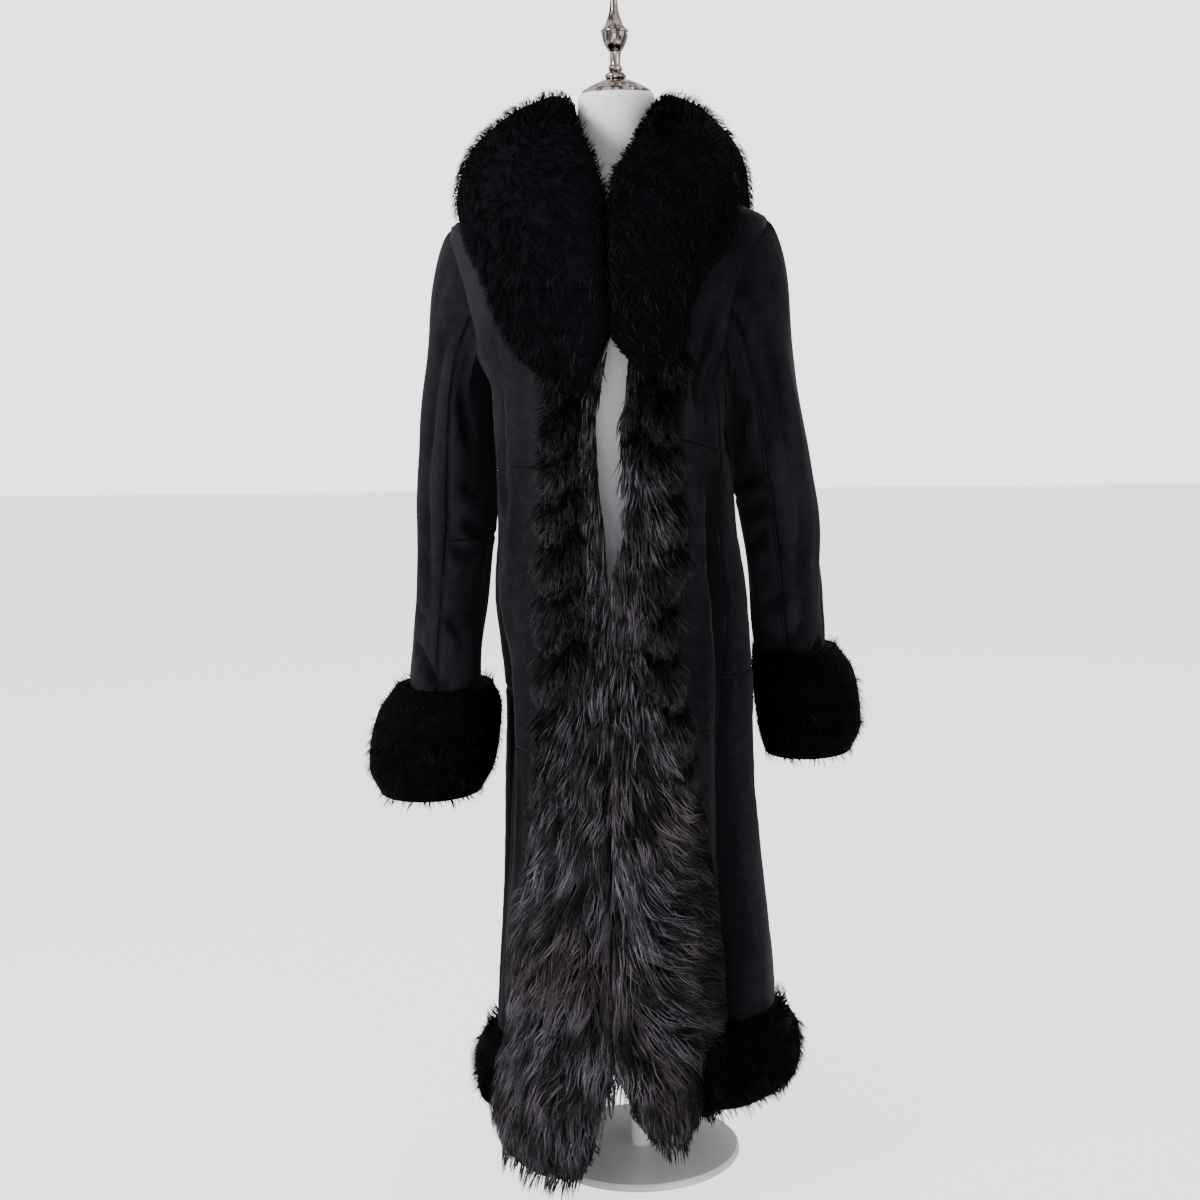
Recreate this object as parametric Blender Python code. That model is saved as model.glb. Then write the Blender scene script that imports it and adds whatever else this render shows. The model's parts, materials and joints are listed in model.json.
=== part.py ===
"""A long shearling coat with fur trim, open in front, resting on a limbless dress form.

Metres, +Z up. The origin is under the middle of the stand's base plate, the coat's front faces -Y,
and R and L are the wearer's right (-X) and left (+X). The hide is a wall of even thickness over one
smooth surface of stacked rings, cut into panels along shared seam lines. Each fur trim is a closed
pad of the fur's reach, whose underside is made from the panel's own points, moved out.
"""

import math

import bmesh
import bpy
import numpy as np

# ---------------------------------------------------------------- driving dimensions

SIDES = {"R": -1, "L": 1}
WALL = 0.004            # hide with its clipped wool
GAP = 0.0003            # between two pieces at a seam, and under what lies on a panel
LAPEL_CLEARANCE = 0.006  # under the loose part of the collar

NECK_TOP = 1.367
POLE_RADIUS = 0.0125
BASE_RADIUS = 0.13
BASE_THICKNESS = 0.009
TORSO_BOTTOM = 0.60
FORM_SEAT = 0.0005       # between the form and the coat along its shoulder seams, where it rests
FORM_CLEARANCE = 0.005   # between them beside the shoulder seams

# Coat body, outer face of the hide. Each row is a ring.
BODY_COLUMNS = ("height", "half_width", "front_depth", "back_depth", "squareness", "shift_x")
BODY_RINGS = (
    (0.020, 0.190, 0.186, 0.172, 2.20, 0.000),
    (0.090, 0.188, 0.183, 0.169, 2.20, 0.000),
    (0.260, 0.179, 0.175, 0.160, 2.25, 0.000),
    (0.410, 0.168, 0.167, 0.150, 2.30, 0.000),
    (0.610, 0.156, 0.157, 0.140, 2.35, -0.001),
    (0.740, 0.158, 0.152, 0.134, 2.40, -0.008),
    (0.842, 0.148, 0.146, 0.121, 2.45, -0.011),
    (0.930, 0.147, 0.140, 0.119, 2.45, -0.014),
    (1.010, 0.147, 0.133, 0.121, 2.40, -0.016),
    (1.060, 0.172, 0.128, 0.121, 2.30, -0.016),
    (1.110, 0.190, 0.120, 0.117, 2.30, -0.016),
    (1.160, 0.1985, 0.106, 0.104, 2.30, -0.016),
    (1.210, 0.198, 0.083, 0.080, 2.30, -0.015),
    (1.2375, 0.136, 0.071, 0.067, 2.25, -0.011),
    (1.265, 0.070, 0.060, 0.055, 2.10, -0.006),
)

# Rows of the panel grid. lean drops the wearer's right front edge and lifts the left one, and dip
# moves the sides and back.
ROW_COLUMNS = ("name", "height", "lean", "dip")
ROWS = (
    ("hem", 0.100, 0.0, 0.0),
    ("band_middle", 0.138, 0.0, 0.0),
    ("band_top", 0.182, 0.0, 0.0),
    ("skirt_1", 0.250, 0.0200, 0.0),
    ("skirt_2", 0.315, 0.0200, 0.0),
    ("skirt_3", 0.380, 0.0200, 0.0),
    ("skirt_4", 0.445, 0.0200, 0.0),
    ("fox_end", 0.510, 0.0200, 0.0),
    ("hip_seam", 0.5825, 0.0195, 0.0),
    ("side_hip_seam", 0.645, 0.0195, 0.0),
    ("hip_1", 0.700, 0.0195, 0.0),
    ("hip_2", 0.758, 0.0190, 0.0),
    ("hip_3", 0.818, 0.0190, 0.0),
    ("hip_4", 0.878, 0.0190, -0.008),
    ("waist_seam", 0.9365, 0.0185, -0.016),
    ("bodice_1", 0.975, 0.0100, -0.006),
    ("bodice_2", 1.015, 0.0040, 0.0),
    ("armhole_1", 1.060, 0.0, 0.0),
    ("armhole_2", 1.100, 0.0, 0.0),
    ("armhole_3", 1.140, 0.0, 0.0),
    ("armhole_4", 1.180, 0.0, 0.0),
    ("shoulder_point", 1.210, 0.0, 0.0),
    ("shoulder_middle", 1.2375, 0.0, 0.0),
    ("neck_edge", 1.265, 0.0, 0.0),
)
ROW = {row[0]: index for index, row in enumerate(ROWS)}
HEM_ROWS = 3             # the rows that run along the hem
DIP_FADE = (30.0, 80.0)

# The hem's height round each side, by angle from the front middle.
HEM_COLUMNS = ("angle", "hem_R", "hem_L")
HEM_HEIGHTS = (
    (0.0, 0.084, 0.130),
    (45.0, 0.094, 0.142),
    (70.0, 0.104, 0.144),
    (100.0, 0.102, 0.126),
    (140.0, 0.094, 0.102),
    (180.0, 0.092, 0.092),
)
PILE_DROP = 0.056        # how far the long pile hangs below the front hem
BAND_DROP = 0.026        # how far the fox band hangs below the hem

# The three rows over the shoulder run from the front edge to the shoulder seam: where each starts,
# and how far it is scooped below the seam.
SHOULDER_ROWS = ("shoulder_point", "shoulder_middle", "neck_edge")
SHOULDER_START = {"shoulder_point": 1.184, "shoulder_middle": 1.190, "neck_edge": 1.196}

# Where the furs meet or part down the front (x of the fur's edge), and the trim's outer edge.
EDGE_COLUMNS = ("height", "fur_R", "fur_L")
FRONT_EDGES = (
    (0.030, -0.044, 0.055),
    (0.078, -0.033, 0.041),
    (0.135, -0.022, 0.016),
    (0.185, -0.0075, 0.0015),
    (0.200, -0.0056, -0.0044),
    (0.281, -0.0056, -0.0044),
    (0.527, -0.0036, -0.0024),
    (0.768, -0.0016, -0.0004),
    (0.838, -0.009, 0.014),
    (0.884, -0.012, 0.017),
    (0.943, -0.014, 0.015),
    (1.000, -0.009, 0.020),
    (1.050, 0.000, 0.027),
    (1.110, 0.009, 0.016),
    (1.190, 0.009, 0.014),
)
HIDE_SETBACK = 0.012     # the hide's own edge, behind the fur's edge

TRIM_COLUMNS = ("height", "outer_R", "outer_L", "pile_share")
TRIM_EDGES = (
    (0.040, -0.188, 0.094, 0.50),
    (0.090, -0.174, 0.094, 0.50),
    (0.163, -0.150, 0.096, 0.50),
    (0.292, -0.126, 0.097, 0.50),
    (0.393, -0.111, 0.093, 0.55),
    (0.500, -0.099, 0.091, 0.85),
    (0.600, -0.091, 0.090, 0.60),
    (0.714, -0.087, 0.075, 0.42),
    (0.845, -0.085, 0.084, 0.38),
    (0.952, -0.078, 0.080, 0.34),
    (1.040, -0.076, 0.096, 0.34),
)
TRIM_LIMIT = 1.040       # above this the trim's columns keep their angle

# Seam lines by angle from the front middle, in degrees.
SEAM_COLUMNS = ("height", "princess_R", "princess_L", "side_back")
SEAM_ANGLES = (
    (0.050, 74.0, 47.0, 131.0),
    (0.447, 70.0, 50.0, 129.0),
    (0.600, 69.0, 56.0, 127.0),
    (0.760, 69.0, 66.0, 122.0),
    (0.930, 70.0, 70.0, 117.0),
)

# Armhole: a tilted plane with a scooped curve.
UNDERARM_HEIGHT = 1.010
SHOULDER_HEIGHT = 1.210
UNDERARM_X = 0.147
SHOULDER_X = 0.198
ARMHOLE_SCOOP = 0.010

# Standing folds of the body: positive depth is a trough. Angles in degrees, top to bottom.
FOLD_COLUMNS = ("name", "top_angle", "bottom_angle", "depth", "width", "top", "bottom")
FOLDS = (
    ("left_front_trough", 66.0, 38.0, 0.016, 7.0, 0.98, 0.05),
    ("left_side_ridge", 88.0, 66.0, -0.005, 9.0, 0.85, 0.05),
    ("right_bust_crease", -54.0, -60.0, 0.006, 5.0, 1.10, 0.88),
    ("right_skirt_trough", -66.0, -62.0, 0.009, 7.0, 0.80, 0.05),
    ("right_side_flute", -98.0, -102.0, 0.009, 8.0, 0.62, 0.02),
    ("left_side_flute", 106.0, 104.0, 0.008, 8.0, 0.66, 0.02),
    ("right_back_flute", -146.0, -150.0, 0.013, 9.0, 0.74, 0.02),
    ("left_back_flute", 142.0, 152.0, 0.012, 9.0, 0.70, 0.02),
    ("back_middle_flute", 176.0, 174.0, 0.007, 8.0, 0.60, 0.02),
)
FOLD_FADE = 0.14

# Sleeves: an ellipse at each height.
SLEEVE_COLUMNS = ("height", "centre_x", "centre_y", "half_width", "half_depth")
SLEEVE_SECTIONS = {
    "R": (
        (0.525, -0.2360, -0.106, 0.047, 0.052),
        (0.580, -0.2300, -0.094, 0.046, 0.052),
        (0.637, -0.2230, -0.080, 0.045, 0.052),
        (0.685, -0.2235, -0.062, 0.0430, 0.052),
        (0.746, -0.2205, -0.044, 0.0460, 0.054),
        (0.795, -0.2175, -0.032, 0.0480, 0.056),
        (0.850, -0.2135, -0.020, 0.0490, 0.058),
        (0.900, -0.2125, -0.012, 0.0480, 0.060),
        (0.970, -0.2100, -0.004, 0.0440, 0.063),
    ),
    "L": (
        (0.552, 0.2130, 0.062, 0.044, 0.050),
        (0.600, 0.2070, 0.058, 0.043, 0.050),
        (0.663, 0.2010, 0.050, 0.043, 0.051),
        (0.708, 0.1980, 0.042, 0.0440, 0.052),
        (0.760, 0.1950, 0.034, 0.0450, 0.054),
        (0.838, 0.1895, 0.022, 0.0475, 0.057),
        (0.900, 0.1840, 0.012, 0.0450, 0.060),
        (0.970, 0.1775, 0.004, 0.0425, 0.063),
    ),
}
SLEEVE_END = {"R": 0.537, "L": 0.554}
ELBOW_SEAM = {"R": 0.827, "L": 0.868}
BICEP_HEIGHT = 0.970
HEAD_STEPS = (0.16, 0.34, 0.56, 0.78)
UPPER_ARM_STEPS = 3
FOREARM_STEPS = 8
CUFF_STEPS = 3
CUFF_DROP = 0.020        # fur beyond the sleeve's end
CUFF_FUR = {"R": (0.046, 0.033), "L": (0.046, 0.008)}  # thickness outside, and next to the body
FRONT_SEAM_COLUMN = 3
BACK_SEAM_COLUMN = 9

# Collar: stations from the centre back, along the neck and down the front edge. Behind the shoulder
# seam a station's edges are given by angle, and in front of it by x. rise is how far the fur stands
# up, upward turns it from the hide's normal towards +Z, and inside is its reach past the hide's edge.
COLLAR_COLUMNS = ("inner", "inner_height", "outer", "outer_height", "rise", "upward", "inside")
COLLAR_BEHIND = {
    "R": (
        (180.0, 1.265, 180.0, 1.175, 0.080, 0.9, 0.003),
        (157.5, 1.265, 152.0, 1.178, 0.082, 0.9, 0.003),
        (135.0, 1.265, 128.0, 1.200, 0.086, 0.9, 0.005),
        (112.5, 1.265, 110.0, 1.222, 0.095, 1.0, 0.012),
        (90.0, 1.265, 90.0, 1.226, 0.104, 1.0, 0.022),
    ),
    "L": (
        (180.0, 1.265, 180.0, 1.175, 0.080, 0.9, 0.003),
        (157.5, 1.265, 152.0, 1.178, 0.082, 0.9, 0.003),
        (135.0, 1.265, 128.0, 1.200, 0.084, 0.9, 0.005),
        (112.5, 1.265, 110.0, 1.226, 0.090, 1.0, 0.012),
        (90.0, 1.265, 90.0, 1.236, 0.096, 1.0, 0.018),
    ),
}
COLLAR_FRONT = {
    "R": (
        (-0.0655, 1.228, -0.174, 1.195, 0.108, 1.0, 0.027),
        (-0.0480, 1.209, -0.168, 1.168, 0.104, 0.8, 0.024),
        (-0.0250, 1.198, -0.160, 1.147, 0.097, 0.6, 0.018),
        (-0.0060, 1.185, -0.151, 1.128, 0.087, 0.40, 0.016),
        (0.0015, 1.150, -0.141, 1.104, 0.076, 0.20, 0.019),
        (0.0010, 1.115, -0.130, 1.080, 0.066, 0.10, 0.020),
        (-0.0020, 1.075, -0.108, 1.050, 0.054, 0.0, 0.018),
        (-0.0060, 1.021, -0.076, 1.018, 0.036, 0.0, 0.004),
    ),
    "L": (
        (0.0535, 1.228, 0.146, 1.208, 0.098, 1.0, 0.006),
        (0.0360, 1.209, 0.145, 1.182, 0.096, 0.8, 0.010),
        (0.0250, 1.200, 0.142, 1.158, 0.092, 0.6, 0.020),
        (0.0230, 1.185, 0.134, 1.135, 0.085, 0.40, 0.030),
        (0.0230, 1.150, 0.122, 1.110, 0.073, 0.20, 0.033),
        (0.0230, 1.115, 0.108, 1.086, 0.062, 0.10, 0.031),
        (0.0240, 1.075, 0.096, 1.060, 0.050, 0.0, 0.024),
        (0.0280, 1.029, 0.084, 1.026, 0.034, 0.0, 0.006),
    ),
}
LAPELS_MEET = 0.0090     # x of the plane where the two halves touch down the front
# Outline of the collar's fur across its width: share of the width, of the rise, and of inside.
COLLAR_OUTLINE = (
    (0.00, 0.12, 0.2),
    (0.00, 0.42, 0.9),
    (0.00, 0.74, 1.0),
    (0.12, 0.95, 0.9),
    (0.36, 1.00, 0.6),
    (0.64, 0.93, 0.3),
    (0.90, 0.74, 0.0),
    (1.06, 0.44, 0.0),
    (1.03, 0.14, 0.0),
)
COLLAR_BASE_SHARES = (1.0, 0.78, 0.54, 0.28, 0.0)

# Dress form: rings of its torso below the shoulders.
FORM_COLUMNS = ("height", "half_width", "front_depth", "back_depth", "squareness", "shift_x")
FORM_RINGS = (
    (0.600, 0.126, 0.094, 0.100, 2.1, 0.000),
    (0.660, 0.134, 0.099, 0.108, 2.1, 0.000),
    (0.740, 0.122, 0.092, 0.098, 2.1, -0.001),
    (0.830, 0.103, 0.084, 0.084, 2.1, -0.003),
    (0.910, 0.114, 0.094, 0.088, 2.1, -0.006),
    (0.990, 0.130, 0.108, 0.096, 2.15, -0.009),
    (1.060, 0.137, 0.105, 0.098, 2.2, -0.012),
    (1.120, 0.150, 0.097, 0.096, 2.25, -0.014),
    (1.165, 0.168, 0.087, 0.087, 2.3, -0.015),
)
NECK_RINGS = (
    (1.274, 0.0535, -0.003),
    (1.288, 0.0490, -0.002),
    (1.308, 0.0478, -0.001),
    (1.358, 0.0475, 0.0),
    (1.3645, 0.0460, 0.0),
    (1.367, 0.0440, 0.0),
)

# Turned stand pieces: radius, height.
CAP_PROFILE = (
    (0.0, 0.0003),
    (0.0405, 0.0003),
    (0.0428, 0.0016),
    (0.0428, 0.0028),
    (0.0375, 0.0062),
    (0.0290, 0.0108),
    (0.0200, 0.0146),
    (0.0126, 0.0172),
    (0.0, 0.0172),
)
FINIAL_PROFILE = (
    (0.0, 0.0175),
    (0.0105, 0.0175),
    (0.0130, 0.0195),
    (0.0130, 0.0225),
    (0.0105, 0.0245),
    (0.0072, 0.0262),
    (0.0087, 0.0285),
    (0.0087, 0.0318),
    (0.0069, 0.0345),
    (0.0069, 0.0400),
    (0.0078, 0.0440),
    (0.0108, 0.0540),
    (0.0140, 0.0640),
    (0.0156, 0.0715),
    (0.0171, 0.0735),
    (0.0171, 0.0752),
    (0.0150, 0.0775),
    (0.0118, 0.0840),
    (0.0082, 0.0910),
    (0.0056, 0.0980),
    (0.0048, 0.1060),
    (0.0046, 0.1140),
    (0.0060, 0.1162),
    (0.0086, 0.1200),
    (0.0095, 0.1250),
    (0.0086, 0.1300),
    (0.0050, 0.1338),
    (0.0, 0.1347),
)
FINE_TURN_STEPS = 28
BASE_TURN_STEPS = 48
POLE_TURN_STEPS = 20

# Materials: colour, roughness, metallic.
FINISHES = {
    "suede": ((0.012, 0.012, 0.014), 0.95, 0.0),
    "black_fox": ((0.004, 0.004, 0.005), 0.75, 0.0),
    "long_pile": ((0.030, 0.027, 0.033), 0.70, 0.0),
    "form_jersey": ((0.80, 0.78, 0.81), 0.90, 0.0),
    "polished_nickel": ((0.72, 0.67, 0.62), 0.12, 1.0),
    "white_enamel": ((0.82, 0.82, 0.82), 0.35, 0.0),
}


# ---------------------------------------------------------------- small helpers


def clear_scene():
    for old in list(bpy.data.objects):
        bpy.data.objects.remove(old, do_unlink=True)


def material(name):
    """The Principled material of a named finish, made once."""
    if name in bpy.data.materials:
        return bpy.data.materials[name]
    colour, roughness, metallic = FINISHES[name]
    made = bpy.data.materials.new(name)
    made.use_nodes = True
    shader = made.node_tree.nodes["Principled BSDF"]
    shader.inputs["Base Color"].default_value = (*colour, 1.0)
    shader.inputs["Roughness"].default_value = roughness
    shader.inputs["Metallic"].default_value = metallic
    made.diffuse_color = (*colour, 1.0)
    return made


def facing_out(points, faces):
    """The triangles of a closed mesh, turned round if they enclose a negative volume."""
    first, second, third = (points[faces[:, corner]] for corner in range(3))
    volume = np.einsum("ij,ij->", first, np.cross(second, third))
    return faces if volume > 0 else faces[:, ::-1]


def add_object(name, points, faces, finish):
    """A named object from the points and triangles of a closed mesh, shaded smooth."""
    faces = facing_out(points, faces)
    mesh = bpy.data.meshes.new(name)
    mesh.from_pydata(np.asarray(points).tolist(), [], np.asarray(faces).tolist())
    mesh.validate()
    mesh.shade_smooth()
    mesh.set_sharp_from_angle(angle=math.radians(50.0))
    mesh.materials.append(material(finish))
    made = bpy.data.objects.new(name, mesh)
    bpy.context.scene.collection.objects.link(made)
    return made


def column(table, names, wanted):
    """One named column of a table, as an array."""
    return np.array([row[names.index(wanted)] for row in table], float)


def smooth(at, places, values):
    """A curve through values at places, with no overshoot, carried on straight past both ends."""
    at = np.asarray(at, float)
    step = np.diff(places)
    slope = np.diff(values) / step
    before, after = slope[:-1], slope[1:]
    rising = before * after > 0
    total = np.where(rising, before + after, 1.0)
    middle = np.where(rising, 2.0 * before * after / total, 0.0)
    tangent = np.concatenate([slope[:1], middle, slope[-1:]])
    cell = np.clip(np.searchsorted(places, at, side="right") - 1, 0, len(step) - 1)
    inside = np.clip(at, places[0], places[-1])
    t = (inside - places[cell]) / step[cell]
    start, end = values[cell], values[cell + 1]
    leave, arrive = tangent[cell] * step[cell], tangent[cell + 1] * step[cell]
    curve = (
        start * (1 + 2 * t) * (1 - t) ** 2
        + leave * t * (1 - t) ** 2
        + end * t**2 * (3 - 2 * t)
        + arrive * t**2 * (t - 1)
    )
    past = np.where(at > places[-1], tangent[-1], tangent[0])
    return curve + past * (at - inside)


def fade(at, start, end):
    """0 before start, 1 after end, with a soft ramp between."""
    t = np.clip((np.asarray(at, float) - start) / (end - start), 0.0, 1.0)
    return t * t * (3.0 - 2.0 * t)


def unit(vectors):
    return vectors / np.linalg.norm(vectors, axis=-1, keepdims=True)


# ---------------------------------------------------------------- the coat's body surface


class Rings:
    """A stack of superellipse rings, each with its own widths, read from a table."""

    def __init__(self, table, names):
        self.heights = column(table, names, "height")
        self.columns = [column(table, names, name) for name in names[1:]]

    def at(self, height):
        return [smooth(height, self.heights, values) for values in self.columns]

    def point(self, angle, height):
        """Point of a ring: angle 0 is the front middle and +90 degrees the wearer's left side."""
        half_width, front, back, squareness, shift = self.at(height)
        sine, cosine = np.sin(angle), np.cos(angle)
        depth = np.where(cosine > 0, front, back)
        x = shift + half_width * np.sign(sine) * np.abs(sine) ** (2 / squareness)
        y = -depth * np.sign(cosine) * np.abs(cosine) ** (2 / squareness)
        return np.stack([x, y, np.broadcast_to(height, x.shape)], axis=-1)

    def level(self, x, y, height):
        """1 on the surface, more outside it."""
        half_width, front, back, squareness, shift = self.at(height)
        depth = np.where(y < 0, front, back)
        return np.abs((x - shift) / half_width) ** squareness + np.abs(y / depth) ** squareness

    def normal(self, angle, height):
        """Outward direction, from the slope of level along each axis."""
        x, y, z = np.moveaxis(self.point(angle, height), -1, 0)
        h = 1e-4
        slope = [
            self.level(x + h, y, z) - self.level(x - h, y, z),
            self.level(x, y + h, z) - self.level(x, y - h, z),
            self.level(x, y, z + h) - self.level(x, y, z - h),
        ]
        return unit(np.stack(slope, axis=-1))

    def angle_of(self, x, height):
        """Angle of the front point that has this x."""
        half_width, _, _, squareness, shift = self.at(height)
        share = (x - shift) / half_width
        return np.sign(share) * np.arcsin(np.minimum(np.abs(share), 1.0) ** (squareness / 2))


BODY = Rings(BODY_RINGS, BODY_COLUMNS)


def fold_depth(angle, height):
    """How far the standing folds push the hide in at this place."""
    depth = np.zeros(np.broadcast(angle, height).shape)
    degrees = np.degrees(angle)
    for row in FOLDS:
        fold = dict(zip(FOLD_COLUMNS, row))
        top, bottom = fold["top"], fold["bottom"]
        share = (height - bottom) / (top - bottom)
        middle = fold["bottom_angle"] + (fold["top_angle"] - fold["bottom_angle"]) * share
        away = (degrees - middle + 180.0) % 360.0 - 180.0
        ends = fade(top - height, 0.0, FOLD_FADE) * fade(height - bottom, -FOLD_FADE, 0.0)
        depth += fold["depth"] * np.exp(-((away / fold["width"]) ** 2)) * ends
    return depth


def hide_point(angle, height, out=0.0):
    """Point of the hide's outer face, moved out along its normal."""
    normal = BODY.normal(angle, height)
    move = np.asarray(out - fold_depth(angle, height))
    return BODY.point(angle, height) + normal * move[..., None]


# ---------------------------------------------------------------- the panel grid

FUR_EDGE, HIDE_EDGE, PILE_MIDDLE, PILE_OUTER, FOX_MIDDLE, TRIM_OUTER = range(6)
PRINCESS = 8
SIDE_BACK = 12
CENTRE_BACK = 16
SIDE_SHARES = (0.0, 0.25, 0.5, 0.75, 1.0)
UNDERARM_EASE = 0.0125   # height of the armhole curve above the underarm, one column away from it


def armhole_x(height):
    """Distance of the armhole's plane from the body's middle."""
    share = (height - UNDERARM_HEIGHT) / (SHOULDER_HEIGHT - UNDERARM_HEIGHT)
    line = UNDERARM_X + (SHOULDER_X - UNDERARM_X) * share
    return line - ARMHOLE_SCOOP * np.sin(math.pi * np.clip(share, 0.0, 1.0))


def armhole_angle(height):
    """Angle of the armhole's front edge: 90 degrees at the underarm and at the shoulder point."""
    half_width, _, _, squareness, _ = BODY.at(height)
    share = np.clip(armhole_x(height) / half_width, 0.0, 1.0)
    angle = np.arcsin(share ** (squareness / 2))
    return np.where((height <= UNDERARM_HEIGHT) | (height >= SHOULDER_HEIGHT), math.pi / 2, angle)


def row_height(index, angle):
    """Height of a grid row at an angle, with its lean and dip, or along the hem."""
    row = dict(zip(ROW_COLUMNS, ROWS[index]))
    height = row["height"]
    degrees = np.abs(np.degrees(angle))
    if index < HEM_ROWS:
        places = column(HEM_HEIGHTS, HEM_COLUMNS, "angle")
        right = smooth(degrees, places, column(HEM_HEIGHTS, HEM_COLUMNS, "hem_R"))
        left = smooth(degrees, places, column(HEM_HEIGHTS, HEM_COLUMNS, "hem_L"))
        return height - ROWS[0][1] + np.where(angle < 0, right, left)
    drop = row["lean"] * np.sign(angle) * (1.0 - degrees / 180.0)
    return height + drop + row["dip"] * fade(degrees, *DIP_FADE)


def trim_x(side, height):
    """x of the fur's edge, the hide's edge, the pile's outer edge and the trim's outer edge."""
    heights = column(FRONT_EDGES, EDGE_COLUMNS, "height")
    fur = smooth(height, heights, column(FRONT_EDGES, EDGE_COLUMNS, "fur_" + side))
    heights = column(TRIM_EDGES, TRIM_COLUMNS, "height")
    outer = smooth(height, heights, column(TRIM_EDGES, TRIM_COLUMNS, "outer_" + side))
    share = smooth(height, heights, column(TRIM_EDGES, TRIM_COLUMNS, "pile_share"))
    hide = fur + SIDES[side] * HIDE_SETBACK
    return fur, hide, hide + (outer - hide) * share, outer


def row_angles(side, index):
    """Signed angles of every column of one row on one side, and their heights."""
    sign = SIDES[side]
    name, base_height = ROWS[index][0], ROWS[index][1]
    height = float(row_height(index, sign * 1e-3))
    measured = min(height, TRIM_LIMIT)
    pile, outer = (BODY.angle_of(x, measured) for x in trim_x(side, measured)[2:])
    fur, hide = (BODY.angle_of(x, height) for x in trim_x(side, height)[:2])
    heights = column(SEAM_ANGLES, SEAM_COLUMNS, "height")
    princess = column(SEAM_ANGLES, SEAM_COLUMNS, "princess_" + side)
    princess = np.radians(smooth(height, heights, princess))
    side_back = np.radians(smooth(height, heights, column(SEAM_ANGLES, SEAM_COLUMNS, "side_back")))
    armhole = armhole_angle(max(base_height, ROWS[ROW["armhole_1"]][1]))
    rise = fade(base_height, ROWS[ROW["waist_seam"]][1], ROWS[ROW["armhole_1"]][1])
    if base_height > ROWS[ROW["waist_seam"]][1]:
        princess = princess + (armhole - princess) * rise
        side_back = side_back + (math.pi - armhole - side_back) * rise
    front = [fur, hide, (hide + pile) / 2, pile, (pile + outer) / 2, outer]
    princess *= sign
    side_back *= sign
    centre = math.pi * sign
    front += [outer + (princess - outer) * share for share in (1 / 3, 2 / 3)]
    middle = [princess + (side_back - princess) * share for share in SIDE_SHARES]
    back = [side_back + (centre - side_back) * share for share in (0.25, 0.5, 0.75, 1.0)]
    angles = np.array(front + middle + back)
    heights = row_height(index, angles)
    if base_height > ROWS[ROW["waist_seam"]][1]:
        bend_under_arm(angles, heights, sign, name)
    if name in SHOULDER_ROWS:
        run_over_shoulder(angles, heights, side, name)
    return angles, heights


def run_over_shoulder(angles, heights, side, name):
    """Lays the front columns of a shoulder row along a scooped line from front edge to seam."""
    below = row_angles(side, ROW["armhole_4"])
    x_below = BODY.point(*below)[:, 0]
    share = (x_below - x_below[HIDE_EDGE]) / (x_below[PRINCESS] - x_below[HIDE_EDGE])
    share = np.clip(share[: PRINCESS + 1], 0.0, 1.0)
    start, end = SHOULDER_START[name], ROWS[ROW[name]][1]
    x_end = BODY.point(angles[PRINCESS], heights[PRINCESS])[0]
    x_start = trim_x(side, start)[1]
    front = np.s_[: PRINCESS + 1]
    heights[front] = end - (end - start) * np.sqrt(1.0 - share**2)
    angles[front] = BODY.angle_of(x_start + (x_end - x_start) * share, heights[front])
    angles[PRINCESS] = SIDES[side] * math.pi / 2


def bend_under_arm(angles, heights, sign, name):
    """Lowers the side columns between waist and underarm, so that their top follows the armhole."""
    waist = ROWS[ROW["waist_seam"]][1]
    top = ROWS[ROW["armhole_1"]][1]
    near = UNDERARM_HEIGHT + UNDERARM_EASE
    curve_heights = (near, UNDERARM_HEIGHT, near)
    near_angle = float(armhole_angle(near))
    curve_angles = (near_angle, math.pi / 2, math.pi - near_angle)
    share = min((ROWS[ROW[name]][1] - waist) / (top - waist), 1.0)
    for place, (curve_height, curve_angle) in enumerate(zip(curve_heights, curve_angles)):
        at = PRINCESS + 1 + place
        base = float(row_height(ROW["waist_seam"], angles[at]))
        straight = base + (top - base) * share
        heights[at] = straight + (curve_height - top) * share
        angles[at] += (sign * curve_angle - angles[at]) * share**2


def body_grid(side):
    """Angles and heights of the whole grid of one side, with a last row below the hem."""
    rows = [row_angles(side, index) for index in range(len(ROWS))]
    angles = np.array([row[0] for row in rows])
    heights = np.array([row[1] for row in rows])
    drop = np.full(angles.shape[1], BAND_DROP)
    across = np.linspace(0.0, 1.0, TRIM_OUTER + 1)
    drop[: TRIM_OUTER + 1] = PILE_DROP * (0.35 + 0.65 * np.sin(math.pi * across) ** 0.6)
    below = row_angles_at(side, heights[0] - drop, angles[0])
    return np.vstack([below[None], angles]), np.vstack([(heights[0] - drop)[None], heights])


def row_angles_at(side, heights, angles):
    """Angles of the hem's columns carried down below the hem."""
    carried = angles.copy()
    for place in range(TRIM_OUTER + 1):
        fur, hide, pile, outer = (BODY.angle_of(x, heights[place]) for x in trim_x(side, heights[place]))
        carried[place] = (fur, hide, (hide + pile) / 2, pile, (pile + outer) / 2, outer)[place]
    return carried


BELOW_HEM = 0
FIRST_ROW = 1            # grid index of the hem, since the grid also holds the row below it


# ---------------------------------------------------------------- closed solids from grids


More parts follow.
